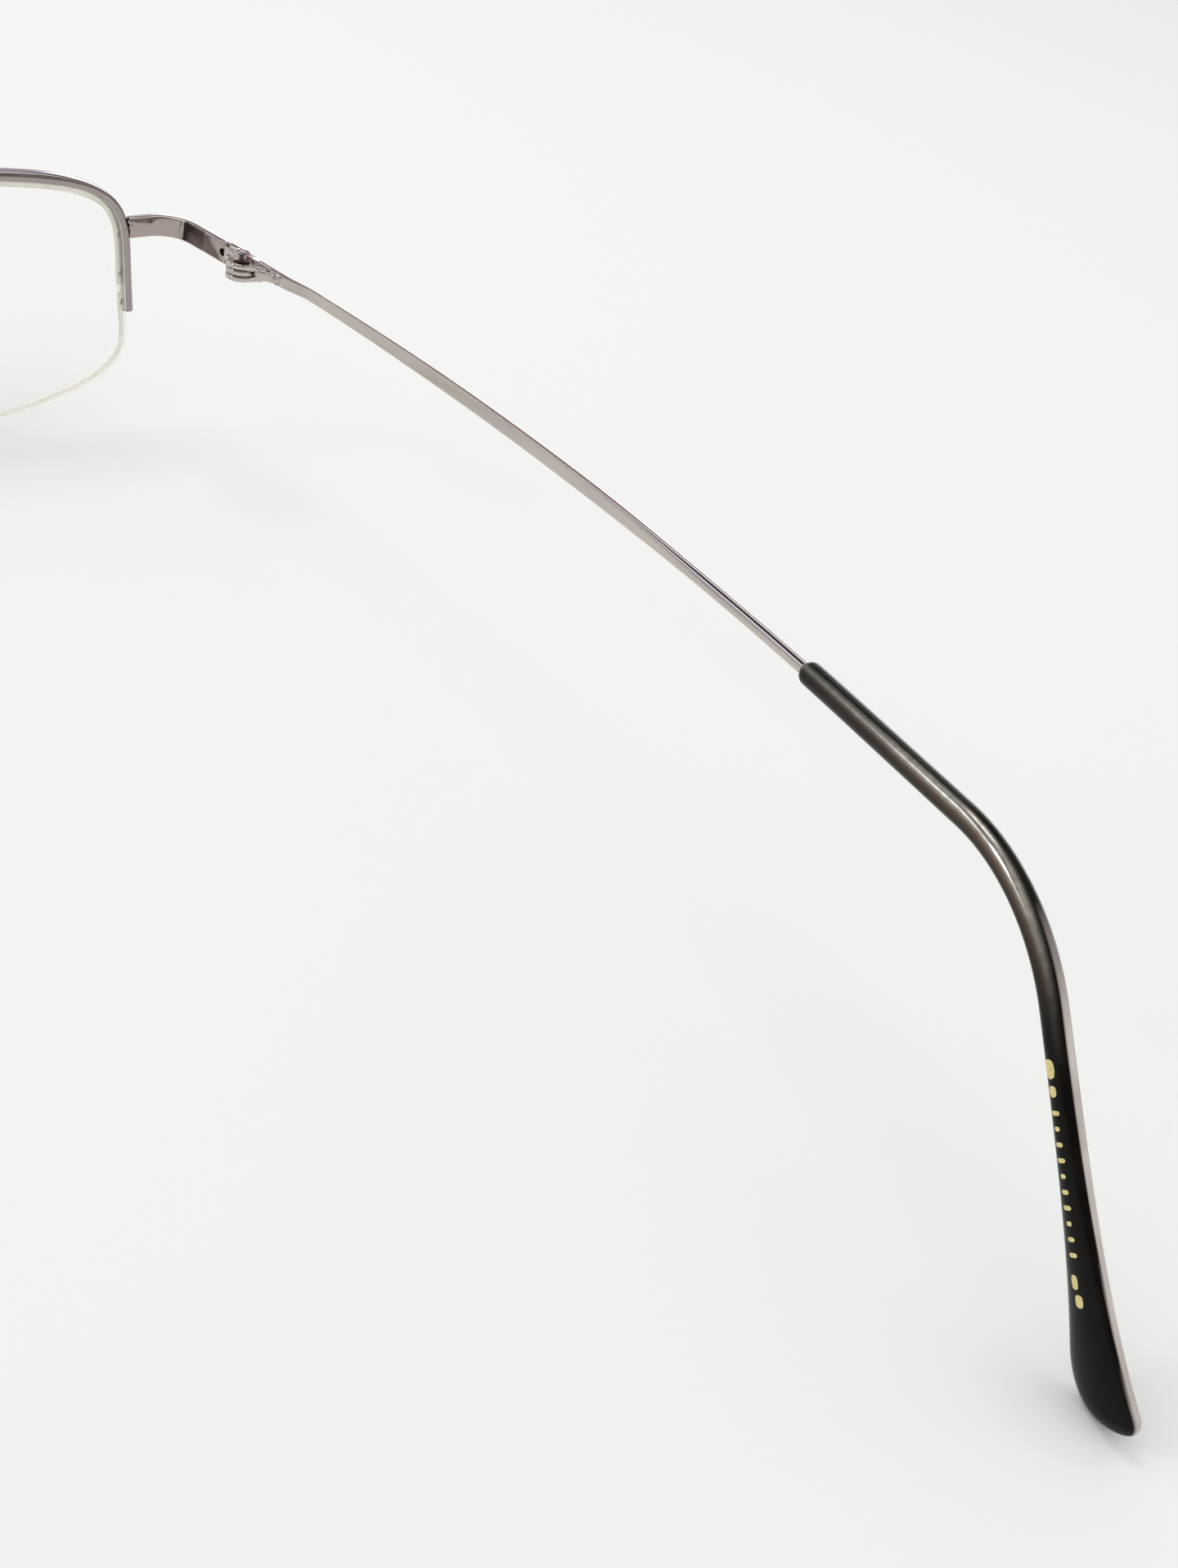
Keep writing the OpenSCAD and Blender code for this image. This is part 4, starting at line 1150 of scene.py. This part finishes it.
def pad_screw_part():
    r, base = PAD_SCREW_R, BOX_W / 2 + SEAT_GAP
    top = base + PAD_HEAD_H
    shank = lathe([(r - 0.08, -BOX_W / 2), (r, -BOX_W / 2 + 0.08), (r, base + 0.1)], 32)
    cap = lathe([
        (0.2, base), (2 * r - 0.04, base), (2 * r, base + 0.04), (2 * r, top - 0.14),
        (2 * r - 0.04, top - 0.05), (2 * r - 0.14, top), (0.15, top),
    ], 48)
    cap = cut(cap, brick((-1, -0.1, top - 0.2), (1, 0.1, top + 1)))
    return placed(merge(shank, cap), lambda p: at_pad(turn(p, "x", -90)))


def core_part():
    """A plate inside the pad, with a tab that holds the barrel round the screw."""
    half, e = BOX_W / 2 - BOX_WALL - FIT_GAP, 0.05
    barrel = placed(lathe([
        (TAB_R - e, -half), (TAB_R, -half + e), (TAB_R, half - e), (TAB_R - e, half),
    ], 48), lambda p: turn(p, "x", 90))
    tab = brick((CORE_X, -half, -TAB_R), (0, half, TAB_R))
    oval = []
    for a in circle(40):
        c, d = (math.copysign(abs(v) ** 0.7, v) for v in (math.cos(a), math.sin(a)))
        oval.append((c * CORE_W / 2, d * CORE_L / 2))
    rings = []
    for x, k in ((0, 0.94), (0.06, 1), (CORE_T - 0.06, 1), (CORE_T, 0.94)):
        rings.append([[CORE_X - CORE_T + x, y * k, z * k] for y, z in oval])
    return placed(merge(barrel, tab, loft(rings)), at_pad)


def pad_part():
    """A soft oval cushion: flat-backed with a rolled edge and crowned towards the nose."""
    back_x = CORE_X + CORE_SUNK
    full_depth = 2.6
    levels = [
        (0.0, 0.35), (0.0, 0.62), (0.0, 0.80), (0.05, 0.87), (0.16, 0.925), (0.35, 0.97),
        (0.6, 0.992), (0.9, 1.0), (1.2, 0.975), (1.5, 0.93), (1.8, 0.855), (2.05, 0.76),
        (2.25, 0.64), (2.4, 0.52), (2.52, 0.36), (2.58, 0.2), (2.6, 0.06),
    ]
    rings = []
    for depth, k in levels:
        ring = []
        for t in circle(64):
            ring.append([
                back_x - depth * PAD_T / full_depth,
                -PAD_W / 2 * k * math.cos(t) * (1 - 0.1 * math.sin(t)),
                -PAD_L / 2 * k * math.sin(t) * (1 + 0.06 * math.sin(t)),
            ])
        rings.append(ring)
    return placed(loft(rings), at_pad)


# ---- the glasses
piece("bridge_bar", bridge_part(), "front", "frame_metal", SHADED_RIM_METAL, ["bridge"])
screw_made, slot_shade_faces = screw_part()
rim_made, inner_wall = rim_part()
lens_made, lens_edge = lens_part()
shapes = {
    "rim_bar": rim_made, "lens_blank": lens_made, "rim_strip": liner_part(),
    "groove_cord": cord_part(), "cord_ends": cord_end_part(), "end_strip": end_piece_part(),
    "front_leaf": front_leaf_part(), "temple_leaf": temple_leaf_part(), "pin_screw": screw_made,
    "temple_bar": temple_part(), "tip_sleeve": tip_part(), "tip_marks": tip_marks_part(),
    "pad_wire": arm_part(), "pad_cup": box_part(), "cup_screw": pad_screw_part(),
    "pad_tab": core_part(), "pad_cushion": pad_part(),
}
for side, word in ((1, "left"), (-1, "right")):
    temple, pad = "temple_" + word, "nose_pad_" + word

    def add(name, body, slot, look, node, **more):
        nodes = [f"{node}_{word}"] if node else []
        piece(f"{name}_{word}", shapes[name], body, slot, look, nodes, side, **more)

    # The rim's inner wall and groove take the pale colour that stands in for light from the lens's
    # edge
    add("rim_bar", "front", "frame_metal", SHADED_RIM_METAL, "rim", second=PAINTED_WALL_LIGHT, patch=inner_wall)
    add("lens_blank", "front", "lens_clear", LENS_CLEAR, "lens", second=LENS_EDGE, patch=lens_edge)
    add("rim_strip", "front", "nylon", NYLON, "rim_liner")
    add("groove_cord", "front", "nylon", NYLON, "lens_cord")
    add("cord_ends", "front", "nylon", CORD_END, None)
    add("end_strip", "front", "frame_metal", SHADED_END_METAL, "end_piece")
    add("front_leaf", "front", "hinge_metal", HINGE_METAL, "hinge_front_leaf", sharp=50)
    add("temple_leaf", temple, "hinge_metal", HINGE_METAL, "hinge_temple_leaf", sharp=50)
    add("pin_screw", temple, "screw_metal", SCREW_METAL, "hinge_screw", bevel=0.06, cuts=3,
        sharp=50, second=SLOT_SHADE, patch=slot_shade_faces)
    add("temple_bar", temple, "frame_metal", FRAME_METAL, "temple")
    add("tip_sleeve", temple, "tip_plastic", TIP_PLASTIC, "temple_tip", tones=tip_tones())
    add("tip_marks", temple, "tip_plastic", GOLD_PRINT, None)
    add("pad_wire", "front", "frame_metal", FRAME_METAL, "pad_arm")
    add("pad_cup", "front", "frame_metal", FRAME_METAL, "pad_box", bevel=0.08)
    add("cup_screw", "front", "screw_metal", SCREW_METAL, "pad_screw")
    add("pad_tab", pad, "nylon", NYLON, "pad_core", bevel=0.05)
    add("pad_cushion", pad, "pad_silicone", PAD_SILICONE, "nose_pad")


# ---- stage and light
def stage_material(name, colour, lift):
    """The floor: it takes shadows, and is lifted a little for the rays that see it."""
    made, t = material(name)
    seen = t.math("MINIMUM", t.ray("Camera") + t.ray("Glossy") + t.ray("Transmission"), 1.0)
    t.surface(t.principled({
        "Base Color": colour,
        "Roughness": 0.9,
        "Specular IOR Level": 0.0,
        "Emission Color": t.blend(seen, (0, 0, 0), lift),
        "Emission Strength": 1.0,
    }))
    return made


FLOOR_HALF = 1.6
floor_mesh = bpy.data.meshes.new("floor")
floor_mesh.from_pydata(
    [(x * FLOOR_HALF, y * FLOOR_HALF, 0) for x, y in ((-1, -1), (1, -1), (1, 1), (-1, 1))],
    [], [(0, 1, 2, 3)],
)
floor_mesh.materials.append(stage_material("floor", (0.80, 0.80, 0.787), (0.03, 0.03, 0.0295)))
floor = in_scene("floor", floor_mesh)

world = bpy.data.worlds.new("world")
scene.world = world
world.use_nodes = True
w = Tree(world.node_tree)
way = w.node("TexCoord", out="Generated")
back, up = (w.node("SeparateXYZ", {}, {0: way}, out=k) for k in (1, 2))
is_mirror = w.ray("Glossy") * (1.0 - w.ray("Transmission"))
seen = w.math("MINIMUM", w.ray("Camera") + w.ray("Transmission"), 1.0)
# What polished metal shows. Behind: a pale band round the horizon under a dim room. Ahead, on
# one hand: a grey wall, then a thin bright strip; on the other hand: a low bright window.
ahead = w.ramp(back, 0.0, -0.25)
hand = w.node(
    "VectorMath", {"operation": "DOT_PRODUCT"}, {0: way, 1: (0.85, -0.53, 0.0)}, out=1
)
STRIP, DARK = (1.9, 2.05, 2.1), (0.08, 0.06, 0.10)
wall = w.blend(w.ramp(up, 0.42, 0.46), (0.62, 0.60, 0.72), STRIP)
wall = w.blend(w.ramp(up, 0.53, 0.58), wall, DARK)
window = w.blend(w.ramp(up, 0.0, 0.03), (0.9, 0.95, 1.05), (3.0, 3.05, 3.1))
window = w.blend(w.ramp(up, 0.21, 0.25), window, (0.34, 0.265, 0.28))
window = w.blend(w.ramp(up, 0.43, 0.46), window, STRIP)
window = w.blend(w.ramp(up, 0.53, 0.58), window, DARK)
far = w.blend(w.ramp(hand, -0.01, 0.05), window, wall)
near = w.blend(w.ramp(up, 0.13, 0.18), (0.66, 0.70, 0.69), (0.32, 0.25, 0.27))
room = w.blend(ahead, near, far)
room = w.blend(w.ramp(up, 0.84, 0.93), room, (0.22, 0.19, 0.21))
plain = w.blend(seen, (0.86, 0.86, 0.86), (0.915, 0.915, 0.90))
sky = w.blend(is_mirror, plain, room)
sky = w.node("Background", {}, {"Color": sky, "Strength": 1.0})
w.node("OutputWorld", {}, {"Surface": sky})


def lamp(name, at, to, size, watts):
    data = bpy.data.lights.new(name, "AREA")
    data.shape, data.size, data.energy = "DISK", size, watts
    ob = in_scene(name, data)
    ob.location = at
    aim = np.array(to) - np.array(at)
    ob.rotation_euler = Vector(aim).to_track_quat("-Z", "Y").to_euler()


lamp("overhead", (-0.05, -0.25, 0.55), (-0.05, -0.03, 0), 0.28, 0.58)
lamp("left_side", (0.42, -0.28, 0.42), (-0.05, 0, 0), 0.16, 0.45)
lamp("right_side", (-0.36, 0.10, 0.46), (-0.05, 0, 0), 0.46, 0.16)
